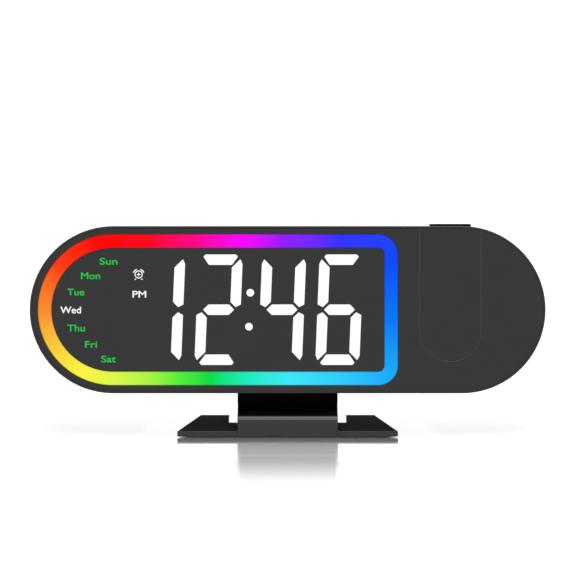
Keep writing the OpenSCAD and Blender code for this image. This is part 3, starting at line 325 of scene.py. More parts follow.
def gathered(solids):
    """Several (points, faces) solids as one."""
    points, faces, start = [], [], 0
    for some_points, some_faces in solids:
        points.append(some_points)
        faces += [[start + corner for corner in face] for face in some_faces]
        start += len(some_points)
    return np.concatenate(points), faces


def piece(name, points, faces, body, materials, sharp=SHARP):
    """A mesh piece from places in metres. It rides on a body and takes the finishes that it is given."""
    mesh = bpy.data.meshes.new(name)
    mesh.from_pydata(points.tolist(), [], faces)
    return finished(name, mesh, body, materials, sharp)


def finished(name, mesh, body, materials, sharp=SHARP):
    """Closes the mesh's seams, points its faces outwards, shades it and puts it on its body."""
    work = bmesh.new()
    work.from_mesh(mesh)
    bmesh.ops.remove_doubles(work, verts=work.verts, dist=SEAM)
    bmesh.ops.recalc_face_normals(work, faces=work.faces)
    work.to_mesh(mesh)
    work.free()
    mesh.shade_smooth()
    mesh.set_sharp_from_angle(angle=math.radians(sharp))
    for material in materials:
        mesh.materials.append(material)
    made = bpy.data.objects.new(name, mesh)
    bpy.context.scene.collection.objects.link(made)
    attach(made, body)
    # Large flat faces stay flat, and small ones beside them take up the turn.
    made.modifiers.new("flats", "WEIGHTED_NORMAL").keep_sharp = True
    return made


def on_clock(name, solids, material):
    """A piece of the clock from solids on its own axes."""
    points, faces = gathered(solids)
    piece(name, leaned(points), faces, "clock", [material])


def mapped(mesh, name, places):
    """Gives a mesh a map from the (u, v) of each of its faces' corners."""
    mesh.uv_layers.new(name=name).data.foreach_set("uv", places.astype(np.float32).ravel())


def bevelled(made, width, segments=3, angle=35):
    """Rounds a piece's edges by width millimetres where they turn by more than angle degrees."""
    bevel = made.modifiers.new("edges", "BEVEL")
    bevel.width = width * MM
    bevel.segments = segments
    bevel.limit_method = "ANGLE"
    bevel.angle_limit = math.radians(angle)
    # It comes before the step that keeps flat faces flat.
    made.modifiers.move(1, 0)


def smooth_copy(node, body, slot, edge=0.0):
    """A copy of a CAD node with its triangles joined into smooth faces, and its sharp edges rounded by
    edge millimetres. It stands in for the node."""
    mesh = bpy.data.meshes.new(f"{node}_skin")
    work = bmesh.new()
    work.from_mesh(frame["nodes"][node].data)
    bmesh.ops.remove_doubles(work, verts=work.verts, dist=CAD_SEAM)
    bmesh.ops.dissolve_degenerate(work, edges=work.edges, dist=SLIVER)
    bmesh.ops.dissolve_limit(work, angle_limit=math.radians(FLAT), verts=work.verts, edges=work.edges)
    work.to_mesh(mesh)
    work.free()
    made = finished(f"{node}_skin", mesh, body, [FINISH_OF[node]], CAD_SHARP)
    if edge:
        bevelled(made, edge, segments=2, angle=40)
    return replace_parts(made, node)


def refinished(made, material, chosen):
    """Gives some faces of a piece another finish. chosen picks them from their middles, in millimetres on
    the clock's own axes."""
    faces = made.data.polygons
    middles = np.empty(3 * len(faces), np.float32)
    faces.foreach_get("center", middles)
    picked = np.nonzero(chosen(middles.reshape(-1, 3) @ AXES.T / MM - ORIGIN))[0]
    made.data.materials.append(material)
    for number in picked.tolist():
        faces[number].material_index = len(made.data.materials) - 1


# ---- Materials ----

# Width in millimetres of the fine grain of a surface that has no raised texture.
FINE_GRAIN = 1.2


def linear(code):
    """An sRGB hex colour as linear red, green, blue and alpha."""
    srgb = np.array([int(code[i : i + 2], 16) for i in (1, 3, 5)]) / 255
    low, high = srgb / 12.92, ((srgb + 0.055) / 1.055) ** 2.4
    return (*np.where(srgb <= 0.04045, low, high), 1.0)


def per_mm(size):
    """The texture scale that makes a pattern's cells about size millimetres wide."""
    return 1 / (size * MM)


def add(tree, kind, inputs=None, **settings):
    """Adds a node with its own settings, and sets or links its inputs by name or place."""
    made = tree.nodes.new(kind)
    for name, value in settings.items():
        setattr(made, name, value)
    for key, value in (inputs or {}).items():
        if isinstance(value, bpy.types.NodeSocket):
            tree.links.new(value, made.inputs[key])
        else:
            made.inputs[key].default_value = value
    return made


def new_material(name):
    """An empty node material, and its tree."""
    material = bpy.data.materials.new(name)
    material.use_nodes = True
    material.node_tree.nodes.clear()
    return material, material.node_tree


def grain(tree, size, detail=3.0):
    """Even noise with cells of size millimetres, from 0 to 1, on the object's own coordinates."""
    place = add(tree, "ShaderNodeTexCoord").outputs["Object"]
    inputs = {"Vector": place, "Scale": per_mm(size), "Detail": detail, "Roughness": 0.6}
    return add(tree, "ShaderNodeTexNoise", inputs).outputs[0]


def spread(tree, value, low, high):
    """A value from 0.25..0.75, where noise mostly lies, moved to low..high."""
    inputs = {"Value": value, "From Min": 0.25, "From Max": 0.75, "To Min": low, "To Max": high}
    return add(tree, "ShaderNodeMapRange", inputs).outputs["Result"]


def shade(tree, value, dark, light):
    """A colour between two hex colours, by a value from 0.25 to 0.75."""
    share = spread(tree, value, 0.0, 1.0)
    mix = add(tree, "ShaderNodeMix", {0: share}, data_type="RGBA")
    mix.inputs[6].default_value = linear(dark)
    mix.inputs[7].default_value = linear(light)
    return mix.outputs[2]


def surface(name, colours, rough, ior=1.5, blotch=14.0, texture=None, specular=0.5, metallic=0.0):
    """A moulded, cut or plated surface: two close colours in soft blotches, roughness that varies with a
    finer grain, and a raised texture of (cell size in mm, height in mm, strength)."""
    material, tree = new_material(name)
    cloud = grain(tree, blotch, 2.0)
    fine = grain(tree, texture[0] if texture else FINE_GRAIN)
    inputs = {
        "Base Color": shade(tree, cloud, *colours),
        "Roughness": spread(tree, fine, *rough),
        "Metallic": metallic,
        "Specular IOR Level": specular,
    }
    if not metallic:
        inputs["IOR"] = ior
    if texture:
        raised = {"Height": fine, "Strength": texture[2], "Distance": texture[1] * MM}
        inputs["Normal"] = add(tree, "ShaderNodeBump", raised).outputs["Normal"]
    shader = add(tree, "ShaderNodeBsdfPrincipled", inputs)
    add(tree, "ShaderNodeOutputMaterial", {"Surface": shader.outputs["BSDF"]})
    return material


def glowing(name, colour, base="#050505", specular=0.1, rough=0.25):
    """A lamp-lit translucent plastic: it gives off its colour, and its skin shines a little. colour is a
    hex colour, or a function that builds one in the material's tree."""
    material, tree = new_material(name)
    inputs = {
        "Base Color": linear(base),
        "Roughness": rough,
        "Specular IOR Level": specular,
        "Emission Color": colour(tree) if callable(colour) else linear(colour),
        "Emission Strength": 1.0,
    }
    shader = add(tree, "ShaderNodeBsdfPrincipled", inputs)
    add(tree, "ShaderNodeOutputMaterial", {"Surface": shader.outputs["BSDF"]})
    return material


def stops(tree, value, places):
    """A colour ramp over value, from pairs of a place and a hex colour, or a plain level."""
    ramp = add(tree, "ShaderNodeValToRGB", {"Fac": value})
    elements = ramp.color_ramp.elements
    for number, (place, code) in enumerate(places):
        stop = elements[number] if number < 2 else elements.new(place)
        stop.position = place
        stop.color = linear(code) if isinstance(code, str) else (code, code, code, 1)
    return ramp.outputs["Color"]


# The projector's light through its lens, by the share of the way from the lens's axis to its edge.
LENS_REDS = [(0, "#ff7a5c"), (0.22, "#ff2a18"), (0.5, "#c00c06"), (0.78, "#4a0402"), (1.0, "#0c0101")]

# The ring's colours run once round the colour wheel. Each is at its place along the ring's middle line,
# in millimetres from the top of the round end, anticlockwise.
RING_COLOURS = [
    (0, "#ff0000"), (8, "#ff0400"), (26, "#fc3810"), (48, "#fc9030"), (78, "#fcf444"), (98, "#d0f848"),
    (120, "#54f038"), (134, "#00dc3c"), (152, "#20ecc0"), (168, "#3ce8f8"), (204, "#20b8fc"),
    (235, "#0078f8"), (260, "#0848f8"), (290, "#3430ff"), (314, "#9818ff"), (330, "#f800ff"),
    (352, "#ff0080"), (370, "#ff0020"),
]
# Share of the band's width in which the light weakens towards its edge, and what is left of it there.
RING_EDGE = 0.08
RING_EDGE_LIGHT = 0.8


def lens_light(tree):
    """Red light that falls off from the lens's middle to its edge, from the u of its own map."""
    place = add(tree, "ShaderNodeUVMap", uv_map="from_axis").outputs["UV"]
    parts = add(tree, "ShaderNodeSeparateXYZ", {"Vector": place}).outputs
    return stops(tree, parts["X"], LENS_REDS)


def ring_length():
    """Length of the ring's middle line: half round, two runs, two quarter rounds and the straight side."""
    middle_r, corner_r = RING_R - RING_BAND / 2, RING_CORNER_R - RING_BAND / 2
    run = RING_HIGH[0] - RING_CORNER_R - RING_ARC_X
    return math.pi * middle_r + 2 * run + math.pi * corner_r + 2 * (RING_R - RING_CORNER_R)


def ring_light(tree):
    """The lamps' colours along the ring, from the u of its own map, weaker at the band's edges, by its v."""
    place = add(tree, "ShaderNodeUVMap", uv_map="along").outputs["UV"]
    parts = add(tree, "ShaderNodeSeparateXYZ", {"Vector": place}).outputs
    places = [(along / ring_length(), code) for along, code in RING_COLOURS] + [(1.0, RING_COLOURS[0][1])]
    hue = stops(tree, parts["X"], places)
    rise = {"Value": parts["Y"], "From Max": RING_EDGE, "To Min": RING_EDGE_LIGHT, "To Max": 1.0}
    edge = add(tree, "ShaderNodeMapRange", rise).outputs["Result"]
    mix = add(tree, "ShaderNodeMix", {0: 1.0, 6: hue, 7: edge}, data_type="RGBA", blend_type="MULTIPLY")
    return mix.outputs[2]


# Cast smoked acrylic, polished: almost black, with a mirror-like skin.
ACRYLIC = surface("smoked_acrylic", ("#0a0a0c", "#0d0d0f"), (0.015, 0.03), ior=1.49, blotch=30.0)
# Injection-moulded ABS from a polished tool: deep black, with a clean gloss that softens highlights a little.
GLOSS_ABS = surface("polished_black_abs", ("#0c0d0e", "#111214"), (0.06, 0.12), ior=1.53)
# The same ABS from a spark-eroded tool: charcoal, with an even fine grain that spreads the light.
# The real grain is about 0.1 mm; it is drawn at 0.45 mm so that it shows.
SATIN_ABS = surface(
    "spark_textured_abs", ("#17181a", "#1d1e21"), (0.42, 0.6), ior=1.53, texture=(0.45, 0.03, 0.5)
)
# Flat black ABS that hardly shines. Inside the clock it is soft-touch lacquer. On the base plate's top and
# the neck's riser it is painted shade: a black that mirrors almost nothing, so they stay dark where real
# black plastic would mirror the white room.
MATTE_ABS_AND_PAINTED_SHADE = surface(
    "soft_touch_black_and_painted_shade", ("#161617", "#1a1a1b"), (0.55, 0.7), specular=0.004, texture=(0.5, 0.02, 0.3)
)
# ABS from a tool with a finer, satin polish: black, with a sheen whose edges are soft.
SHEEN_ABS = surface("satin_polished_abs", ("#0c0d0e", "#111214"), (0.2, 0.3), ior=1.53)
# Turned and knurled black acetal: black, waxy, with a soft sheen.
ACETAL = surface("black_acetal", ("#040405", "#070708"), (0.3, 0.42), ior=1.48, specular=0.01)
# Moulded nitrile rubber: dark grey, dry, with a fine bloom.
RUBBER = surface(
    "moulded_rubber", ("#202022", "#29292b"), (0.75, 0.9), specular=0.25, texture=(0.6, 0.05, 0.6)
)
# Zinc-plated steel: bright grey, faintly blue, with a rolled skin.
ZINC = surface("zinc_plated_steel", ("#a9adb2", "#bdc1c4"), (0.22, 0.38), metallic=1.0, blotch=2.0)
# Nickel-plated pressed steel of a socket shell: warm, smoother than zinc.
NICKEL = surface("nickel_plated_steel", ("#b6b3ab", "#c8c5be"), (0.16, 0.28), metallic=1.0, blotch=3.0)
# Gold-flashed contact strip: yellow, smooth and bright.
GOLD = surface("gold_flashed_contact", ("#c9a350", "#d8b566"), (0.18, 0.3), metallic=1.0, blotch=1.0)
# Glass-filled nylon of the sockets' insulators: dull black, faintly grainy.
NYLON = surface(
    "black_nylon", ("#1a1b1d", "#212225"), (0.4, 0.55), specular=0.4, texture=(0.4, 0.02, 0.4)
)
# Woven glass laminate under green solder resist: deep green, with a soft shine.
GREEN_BOARD = surface("green_circuit_board", ("#14492d", "#1b5b38"), (0.3, 0.42), blotch=3.0)
# The same laminate under white resist: chalky white.
WHITE_BOARD = surface("white_circuit_board", ("#dcdcd6", "#e8e8e3"), (0.35, 0.5), blotch=3.0)
# Pressed paper cone: black, fibrous and dry.
PAPER = surface(
    "loudspeaker_cone", ("#161617", "#202021"), (0.7, 0.85), specular=0.2, texture=(0.7, 0.08, 0.6)
)
# Opal polycarbonate, unlit, as the inserts behind the lens: milky, with a soft shine.
OPAL = surface("opal_polycarbonate", ("#d9d9d6", "#e6e6e3"), (0.3, 0.4), blotch=6.0)
# Coated glass of the projector, over its red lamp: brightest in the middle and dark at the edge.
LENS_GLASS = glowing("coated_lens_glass", lens_light, base="#0a0203", specular=0.5, rough=0.03)
# Clear glass parts inside the projector: pale and almost mirror smooth.
CLEAR_GLASS = surface("clear_optical_glass", ("#9fb4ba", "#b4c6cb"), (0.02, 0.05), ior=1.52)
# Acrylic where a cutter has frosted it: grey, and without shine. Its light grey is partly the frosting and
# partly a painted highlight for the light that the groove's edges catch.
FROSTED_AND_PAINTED_HIGHLIGHT = surface("milled_acrylic_and_painted_highlight", ("#4a4a4c", "#525254"), (0.7, 0.8), specular=0.2)
# White pad-printing ink: thin, matt, a little uneven.
INK = surface("pad_print_ink", ("#a9a9a9", "#b9b9b9"), (0.55, 0.7), specular=0.2, blotch=1.5)
# Opal acrylic over coloured lamps: a smooth run of pure colours.
RING_GLOW = glowing("opal_acrylic_ring_lit", ring_light, specular=0.02)
# Opal resin over white lamps, seen through the lens: even white.
WHITE_GLOW = glowing("opal_resin_lit_white", "#ffffff")
# The same over green lamps.
GREEN_GLOW = glowing("opal_resin_lit_green", "#17c846")

# What the six rear buttons are for. Their pieces, bodies and marks are named after it.
KEYS = ["set", "up", "down", "alarm", "projector", "light"]
BUTTONS = [f"button_{key}" for key in KEYS]

NODE_FINISH = {
    ACRYLIC: ["outer_panel", "display_lens"],
    SATIN_ABS: [
        "rear_case", "battery_door", "arm_front_shell", "arm_rear_shell", "snooze_button", *BUTTONS,
    ],
    SHEEN_ABS: ["front_case"],
    GLOSS_ABS: ["stand_base", "stand_neck"],
    MATTE_ABS_AND_PAINTED_SHADE: ["display_reflector", "projector_tube"],
    ACETAL: ["focus_ring"],
    RUBBER: ["base_pad"],
    ZINC: [
        "tilt_pin", "stand_screws", "case_screws", "board_screws", "door_screw", "arm_screw",
        "arm_pivot_pins", "coin_cell",
    ],
    NICKEL: ["usb_port", "power_jack_pin"],
    GOLD: ["battery_contact"],
    NYLON: ["power_jack"],
    GREEN_BOARD: ["display_board", "main_board", "snooze_switch"],
    WHITE_BOARD: ["ring_led_board", "projector_led_board"],
    PAPER: ["loudspeaker"],
    OPAL: [
        "light_ring", "hour_tens", "hour_units", "colon_dots", "minute_tens", "minute_units",
        "weekday_guides", "status_guides",
    ],
    LENS_GLASS: ["projector_lens"],
    CLEAR_GLASS: ["condenser_lens", "projector_lcd"],
}
FINISH_OF = {node: finish for finish, nodes in NODE_FINISH.items() for node in nodes}


def dress(node):
    """Gives a CAD node its material in every slot."""
    slots = frame["nodes"][node].data.materials
    if not len(slots):
        slots.append(FINISH_OF[node])
    for number in range(len(slots)):
        slots[number] = FINISH_OF[node]


# Outer pieces shown as smooth copies: node, body, slot and the rounding of sharp edges in millimetres.
SKINS = [
    ("front_case", "clock", "gloss_black", 0.0),
    ("rear_case", "clock", "satin_black", 0.15),
    ("battery_door", "clock", "satin_black", 0.15),
    ("arm_front_shell", "projector_arm", "satin_black", 0.15),
    ("arm_rear_shell", "projector_arm", "satin_black", 0.15),
    ("focus_ring", "focus", "gloss_black", 0.1),
    ("snooze_button", "snooze", "satin_black", 0.25),
    *[(button, f"{button}_key", "satin_black", 0.3) for button in BUTTONS],
    ("display_lens", "clock", "smoked_acrylic", 0.06),
    ("base_pad", "stand", "pad_rubber", 0.15),
    ("power_jack", "clock", "speaker_black", 0.1),
    ("tilt_pin", "clock", "steel", 0.15),
    ("loudspeaker", "clock", "speaker_black", 0.0),
]


# ---- Case, panel and ring ----


def lit_ring():
    """The light ring: a flat band with softened front edges, carried round its outline. Its map holds the
    share of the way round in u, and in v the share of the band's width from its nearer edge."""
    outer, inner = -RING_GAP, RING_GAP - RING_BAND
    corners = [(outer, PANEL_Y), (inner, PANEL_Y), (inner, RING_HIGH[1]), (outer, RING_HIGH[1])]
    edges = rounded(corners, [RING_ROUND, RING_ROUND, RING_BACK_ROUND, RING_BACK_ROUND])
    flat = np.linspace(outer - RING_ROUND, inner + RING_ROUND, FRONT_STEPS)
    across = np.column_stack([flat, np.full(FRONT_STEPS, PANEL_Y)])
    profile = np.concatenate([edges[:CORNER_STEPS], across[1:-1], edges[CORNER_STEPS:]])
    path, outward = ring_path()
    points = swept(path, outward, profile)
    mesh = bpy.data.meshes.new("light_ring_lit")
    mesh.from_pydata(leaned(points).reshape(-1, 3).tolist(), [], grid_quads(*points.shape[:2]).tolist())
    middle_line = path - outward * RING_BAND / 2
    steps = np.linalg.norm(np.roll(middle_line, -1, 0) - middle_line, axis=1)
    along = np.append(0, np.cumsum(steps)) / steps.sum()
    inward = np.minimum(outer - profile[:, 0], profile[:, 0] - inner) / RING_BAND
    grid = np.stack(np.meshgrid(along, np.append(inward, inward[0]), indexing="ij"), -1)
    mapped(mesh, "along", np.stack([grid[:-1, :-1], grid[:-1, 1:], grid[1:, 1:], grid[1:, :-1]], 2))
    made = finished("light_ring_lit", mesh, "clock", [RING_GLOW])
    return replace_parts(made, "light_ring")


def panel():
    """The smoked panel, with the cutter's frosted groove in it, whose light grey is partly a painted
    highlight on its edges.
    """
    made = smooth_copy("outer_panel", "clock", "smoked_acrylic", PANEL_EDGE)

    def groove(middles):
        """Picks the faces of the groove: within its depth, and away from both of the panel's outlines."""
        x, y, z = middles.T
        deep = (y > PANEL_Y + GROOVE_NEAR) & (y < PANEL_Y + GROOVE_D + GROOVE_NEAR)
        beside = x > RING_HIGH[0] + GROOVE_CLEAR
        within = np.hypot(np.maximum(x - ARM_X, 0), z) < RING_R - GROOVE_CLEAR
        return deep & beside & within

    # The groove's faces take the light grey that is partly painted highlight.
    refinished(made, FROSTED_AND_PAINTED_HIGHLIGHT, groove)


def projector_lens():
    """The projector's lens. Its map holds in u the share of the way from its axis to its edge."""
    mesh = smooth_copy("projector_lens", "focus", "lens_glass").data
    low, high = reach("projector_lens", ORIGIN)
    offset = mesh_points(mesh) @ AXES.T / MM - ORIGIN - middle("projector_lens")
    share = np.hypot(offset[:, 0], offset[:, 1]) / ((high[0] - low[0]) / 2)
    corner = np.empty(len(mesh.loops), np.int32)
    mesh.loops.foreach_get("vertex_index", corner)
    mapped(mesh, "from_axis", np.column_stack([share[corner], np.zeros(len(corner))]))


def usb_port():
    """The charging socket: a nickel shell round a black tongue, with four gold strips under the tongue."""
    made = smooth_copy("usb_port", "clock", "steel", USB_EDGE)
    low, high = reach("usb_port", ORIGIN)
    centre = middle("usb_port")

    def tongue(middles):
        """Picks the faces of the tongue: within its width and thickness, and inside the mouth."""
        x, y, z = middles.T
        across = np.abs(x - centre[0]) < TONGUE_W / 2 + TONGUE_NEAR
        height = np.abs(z - centre[2] - TONGUE_UP) < TONGUE_T / 2 + TONGUE_NEAR
        return across & height & (y < high[1] - TONGUE_IN)

    refinished(made, NYLON, tongue)
    under = centre[2] + TONGUE_UP - TONGUE_T / 2
    back, front = low[1] + CONTACT_BACK, high[1] - CONTACT_FRONT
    strips = []
    for x in centre[0] + CONTACTS:
        left, right = x - CONTACT_HALF, x + CONTACT_HALF
        outline = [(left, back), (right, back), (right, front), (left, front)]
        strips.append(prism(outline, under - CONTACT_T, under, FLOOR_ORDER))
    on_clock("usb_contacts", strips, GOLD)


# ---- Lit digits and signs ----

GLOW_Y = (PANEL_Y - GLOW_PROUD, PANEL_Y + GLOW_SUNK)


def glow(name, outlines):
    """Thin white-lit plates on the front of the display lens, from outlines in the clock's face."""
    plates = [prism(outline, *GLOW_Y, FACE_ORDER) for outline in outlines]
    on_clock(name, plates, WHITE_GLOW)


def slanted(outline, x):
    """Leans an outline to the right by its height and moves it to x."""
    return np.column_stack([outline[:, 0] + outline[:, 1] * SLANT + x, outline[:, 1]])


def flat_bar(a, b):
    """The top bar of a digit of half width a and half height b: straight outside, pointed at both ends."""
    tip, end = BAR_CUT + BAR_GAP, 2 * BAR_CUT + BAR_GAP
    half = [(a - end, b), (a - tip, b - BAR_CUT), (a - BAR_W, b - BAR_W)]
    return [(-x, z) for x, z in half[::-1]] + half


def upright_bar(a, b):
    """The upper left bar of a digit of half width a and half height b: straight outside, with cut tips."""
    return [
        (-a, BAR_W / 2),
        (BAR_W / 2 - a, BAR_GAP),
        (BAR_W - a, BAR_W / 2 + BAR_GAP),
        (BAR_W - a, b - BAR_W - BAR_GAP),
        (BAR_CUT - a, b - BAR_CUT - BAR_GAP),
        (-a, b - 2 * BAR_CUT - 2 * BAR_GAP),
    ]


def middle_bar(a):
    """The middle bar of a digit of half width a: a long hexagon."""
    point, end, half = a - (BAR_W + BAR_GAP) / 2, a - BAR_W - BAR_GAP / 2, BAR_W / 2
    return [(-point, 0), (-end, -half), (end, -half), (point, 0), (end, half), (-end, half)]


def digit_bars(a, b):
    """The seven bars by their usual letters: a to f clockwise from the top, and g in the middle."""
    top, side = np.array(flat_bar(a, b)), np.array(upright_bar(a, b))
    flips = {"a": (1, 1), "d": (1, -1), "f": (1, 1), "b": (-1, 1), "c": (-1, -1), "e": (1, -1)}
    bars = {letter: (top if letter in "ad" else side) * flip for letter, flip in flips.items()}
    bars["g"] = np.array(middle_bar(a))
    return bars


# The bars that are lit in each figure, and the figure that each digit shows.
LIT = {"1": "bc", "2": "abged", "4": "fgbc", "6": "afgedc"}
SHOWN = {"hour_tens": "1", "hour_units": "2", "minute_tens": "4", "minute_units": "6"}


def lit_digits():
    """The time 12:46, each lit bar over its insert."""
    for node, figure in SHOWN.items():
        low, high = reach(node, ORIGIN)
        half_height = (high[2] - low[2]) / 2 - BAR_INSET
        # An insert is widest at its upright bars' outer ends, which lean out by this much.
        lean = (half_height - 2 * (BAR_CUT + BAR_GAP)) * SLANT
        half_width = (high[0] - low[0]) / 2 - lean - BAR_INSET
        bars = digit_bars(half_width, half_height)
        x = middle(node)[0]
        glow(f"{node}_lit", [slanted(rounded(bars[letter], BAR_ROUND), x) for letter in LIT[figure]])


def lit_colon():
    """The colon's two dots, which follow the digits' slant."""
    x = middle("colon_dots")[0]
    glow("colon_lit", [arc((x + z * SLANT, z), DOT_R, 0, 350, 10)[0] for z in (-DOT_Z, DOT_Z)])


def lettering(name, words, place, size, depths, material):
    """Plain bold lettering from the built-in font. place is its left end and baseline, size its width and
    its height over the baseline, and depths those of its back and its front. Where it is read from behind,
    its width is negative."""
    curve = bpy.data.curves.new(name, "FONT")
    curve.body = words
    curve.extrude = curve.bevel_depth = BOLD
    curve.bevel_resolution = 1
    text = bpy.data.objects.new(name, curve)
    bpy.context.scene.collection.objects.link(text)
    bpy.context.view_layer.update()
    mesh = bpy.data.meshes.new_from_object(text.evaluated_get(bpy.context.evaluated_depsgraph_get()))
    bpy.data.objects.remove(text)
    bpy.data.curves.remove(curve)
    points = mesh_points(mesh)
    low, high = points.min(0), points.max(0)
    share = (points - low) / (high - low)
    back, front = depths
    placed = np.column_stack([
        place[0] + share[:, 0] * size[0],
        back + share[:, 2] * (front - back),
        place[1] + points[:, 1] / high[1] * size[1],
    ])
    mesh.vertices.foreach_set("co", leaned(placed).astype(np.float32).ravel())
    mesh.name = name
    finished(name, mesh, "clock", [material])


def lit_word(name, words, place, width, material):
    """A lit word on the front of the display lens."""
    lettering(name, words, place, (width, NAME_HEIGHT), GLOW_Y[::-1], material)


def signs():
    """The weekday names, PM and the small alarm clock."""
    for day, place, width in WEEKDAYS:
        material = WHITE_GLOW if day == TODAY else GREEN_GLOW
        lit_word(f"sign_{day.lower()}", day, place, width, material)
    lit_word("sign_pm", "PM", PM_PLACE, PM_W, WHITE_GLOW)
    glow("sign_alarm", [outline + ALARM_PLACE for outline in alarm_clock()])


def band(inner, outer, start, end, step):
    """A flat band between two arcs round (0, 0)."""
    out, back = arc((0, 0), outer, start, end, step)[0], arc((0, 0), inner, end, start, step)[0]
    return np.concatenate([out, back])


def line(start, end, width):
    """A flat bar with square ends between two points."""
    start, end = np.asarray(start, float), np.asarray(end, float)
    side = np.array([start[1] - end[1], end[0] - start[0]])
    side = side / np.linalg.norm(side) * width / 2
    return np.array([start - side, end - side, end + side, start + side])


def alarm_clock():
    """A small alarm clock's outlines round (0, 0): a ring in quarters, two bells, two feet and two hands."""
    outlines = [band(*SIGN_RING, turn, turn + 90, 10) for turn in (0, 90, 180, 270)]
    for side in (-1, 1):
        bell = 90 - side * BELL_TURN
        outlines.append(band(*SIGN_BELL, bell - BELL_HALF_ARC, bell + BELL_HALF_ARC, 8))
        outlines.append(line(*np.array(SIGN_FOOT) * (side, 1), FOOT_LINE))
    outlines.append(line((-SIGN_HAND, 0), (SIGN_HAND, 0), SIGN_LINE))
    outlines.append(line((0, -SIGN_HAND), (0, SIGN_HAND), SIGN_LINE))
    return outlines


# ---- Printed marks over the buttons on the rear ----

INK_Y = (REAR_Y - MARK_T, REAR_Y + MARK_T)


def sun():
    """A dot with eight rays round it."""
    rays = [np.array([math.cos(turn), math.sin(turn)]) for turn in np.radians(np.arange(0, 360, 45))]
    dot = arc((0, 0), SUN_DOT, 0, 330, 30)[0]
    return [dot] + [line(SUN_RAY[0] * ray, SUN_RAY[1] * ray, MARK_LINE) for ray in rays]


def beam():
    """A small lamp house and the three rays that it throws up."""
    half, bottom, top = HOUSE
    house = np.array([(-half, bottom), (half, bottom), (half, top), (-half, top)])
    near, far = np.column_stack([RAY_SPREAD, RAY_HEIGHT])
    return [house] + [line(near * (side, 1), far * (side, 1), MARK_LINE) for side in (-1, 0, 1)]


def cross():
    """A plus sign, in three bars that don't overlap."""
    half = MARK_LINE / 2
    return dash() + [line((0, half), (0, MARK_BAR), MARK_LINE), line((0, -MARK_BAR), (0, -half), MARK_LINE)]


def dash():
    """A minus sign."""
    return [line((-MARK_BAR, 0), (MARK_BAR, 0), MARK_LINE)]


def mark_place(node):
    """The place of a mark's middle over a button."""
    return middle(node)[0], reach(node, ORIGIN)[1][2] + MARK_UP


def rear_marks():
    """A plain printed mark over each button. From behind, x runs to the left."""
    marks = {
        "up": cross(),
        "down": dash(),
        "alarm": [outline * MARK_CLOCK for outline in alarm_clock()],
        "projector": beam(),
        "light": sun(),
    }
    for key, outlines in marks.items():
        place = mark_place(f"button_{key}")
        plates = [prism(outline * (-1, 1) + place, *INK_Y, FACE_ORDER) for outline in outlines]
        on_clock(f"mark_{key}", plates, INK)
    x, z = mark_place("button_set")
    place = (x + WORD_W / 2, z - WORD_H / 2)
    lettering("mark_set", "SET", place, (-WORD_W, WORD_H), INK_Y, INK)


# ---- Stand ----


def stand_corners(node):
    """Lowest and highest corner of a CAD node on the frame's own axes, in millimetres."""
    low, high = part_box(node)
    return np.array(low) / MM, np.array(high) / MM


def stand_base():
    """The base plate: a trapezium, cut away in front for the neck's nose and slotted at the back beside it.
    Its edges are polished, and its top is painted shade: a flat black that mirrors almost nothing, so it
    stays dark."""
    low, high = stand_corners("stand_base")
    x, neck = high[0], stand_corners("stand_neck")[1][0]
    slot, slot_end = neck + SLOT_W, high[1] - SLOT_L
    half = [
        (neck, low[1] + NOSE_R), (neck, low[1]), (x, low[1]), (x - BASE_SIDE, high[1]),
        (slot, high[1]), (slot, slot_end), (neck, slot_end), (neck, high[1]),
    ]
    outline = half + [(-px, py) for px, py in half[::-1]]
    points, faces = prism(outline, low[2], high[2], FLOOR_ORDER)
    made = piece("base_plate", upright(points), faces, "stand", [GLOSS_ABS, MATTE_ABS_AND_PAINTED_SHADE])
    # Faces that look up take the flat black that is painted shade.
    for face in made.data.polygons:
        face.material_index = 1 if face.normal.z > FACING else 0
    bevelled(made, BASE_EDGE)
    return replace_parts(made, "stand_base")


def stand_neck():
    """The neck from the side: a foot with a rounded nose, a bend and a riser that ends in the hinge barrel,
    drawn out across its width. The foot is polished, and the riser is painted shade: a flat black that
    mirrors almost nothing, so it stays dark under the case."""
    low, high = stand_corners("stand_neck")
    hinge = np.array(JOINTS["tilt"]["pos_m"]) / MM
    base_top = stand_corners("stand_base")[1][2]
    foot_top = base_top + NECK_T
    front, back = hinge[1] - NECK_T / 2, hinge[1] + NECK_T / 2
    bend = (front - BEND_R, foot_top + BEND_R)
    outline = np.concatenate([
        arc((low[1] + NOSE_R, foot_top - NOSE_R), NOSE_R, 180, 90, 7.5)[0],
        arc(bend, BEND_R, 270, 360, 7.5)[0],
        [(front, hinge[2] - BARREL_FOOT)],
        arc(hinge[1:], BARREL_R, *BARREL_ARC, 10)[0],
        [(back, hinge[2] - BARREL_FOOT)],
        arc(bend, BEND_R + NECK_T, 360, 270, 7.5)[0],
        [(low[1] + NOSE_R, base_top), (low[1] + NOSE_R, low[2]), (low[1], low[2])],
    ])
    points, faces = prism(outline, low[0], high[0], SIDE_ORDER)
    finishes = [GLOSS_ABS, MATTE_ABS_AND_PAINTED_SHADE]
    made = piece("neck", upright(points), faces, "stand", finishes, NECK_SHARP)
    # The riser's faces take the flat black that is painted shade.
    for face in made.data.polygons:
        riser = face.center.y > (bend[0] - RISER_FROM) * MM and abs(face.normal.x) < FACING
        face.material_index = 1 if riser else 0
    bevelled(made, NECK_EDGE)
    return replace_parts(made, "stand_neck")


# ---- Room, light and camera ----

WHITE = (1, 1, 1, 1)

# Strength of the room's white light on surfaces, against what the eye, mirrors and glass see of it.
ROOM_LIGHT = 0.72

# The table: half its side in metres, its height in millimetres, a hair under the pad so that the two
# surfaces stay apart, its colour, and the roughness of its polish.
TABLE_HALF = 6.0
FLOOR_Z = -0.02
FLOOR_COLOUR = "#f6f6f6"
FLOOR_ROUGH = 0.06
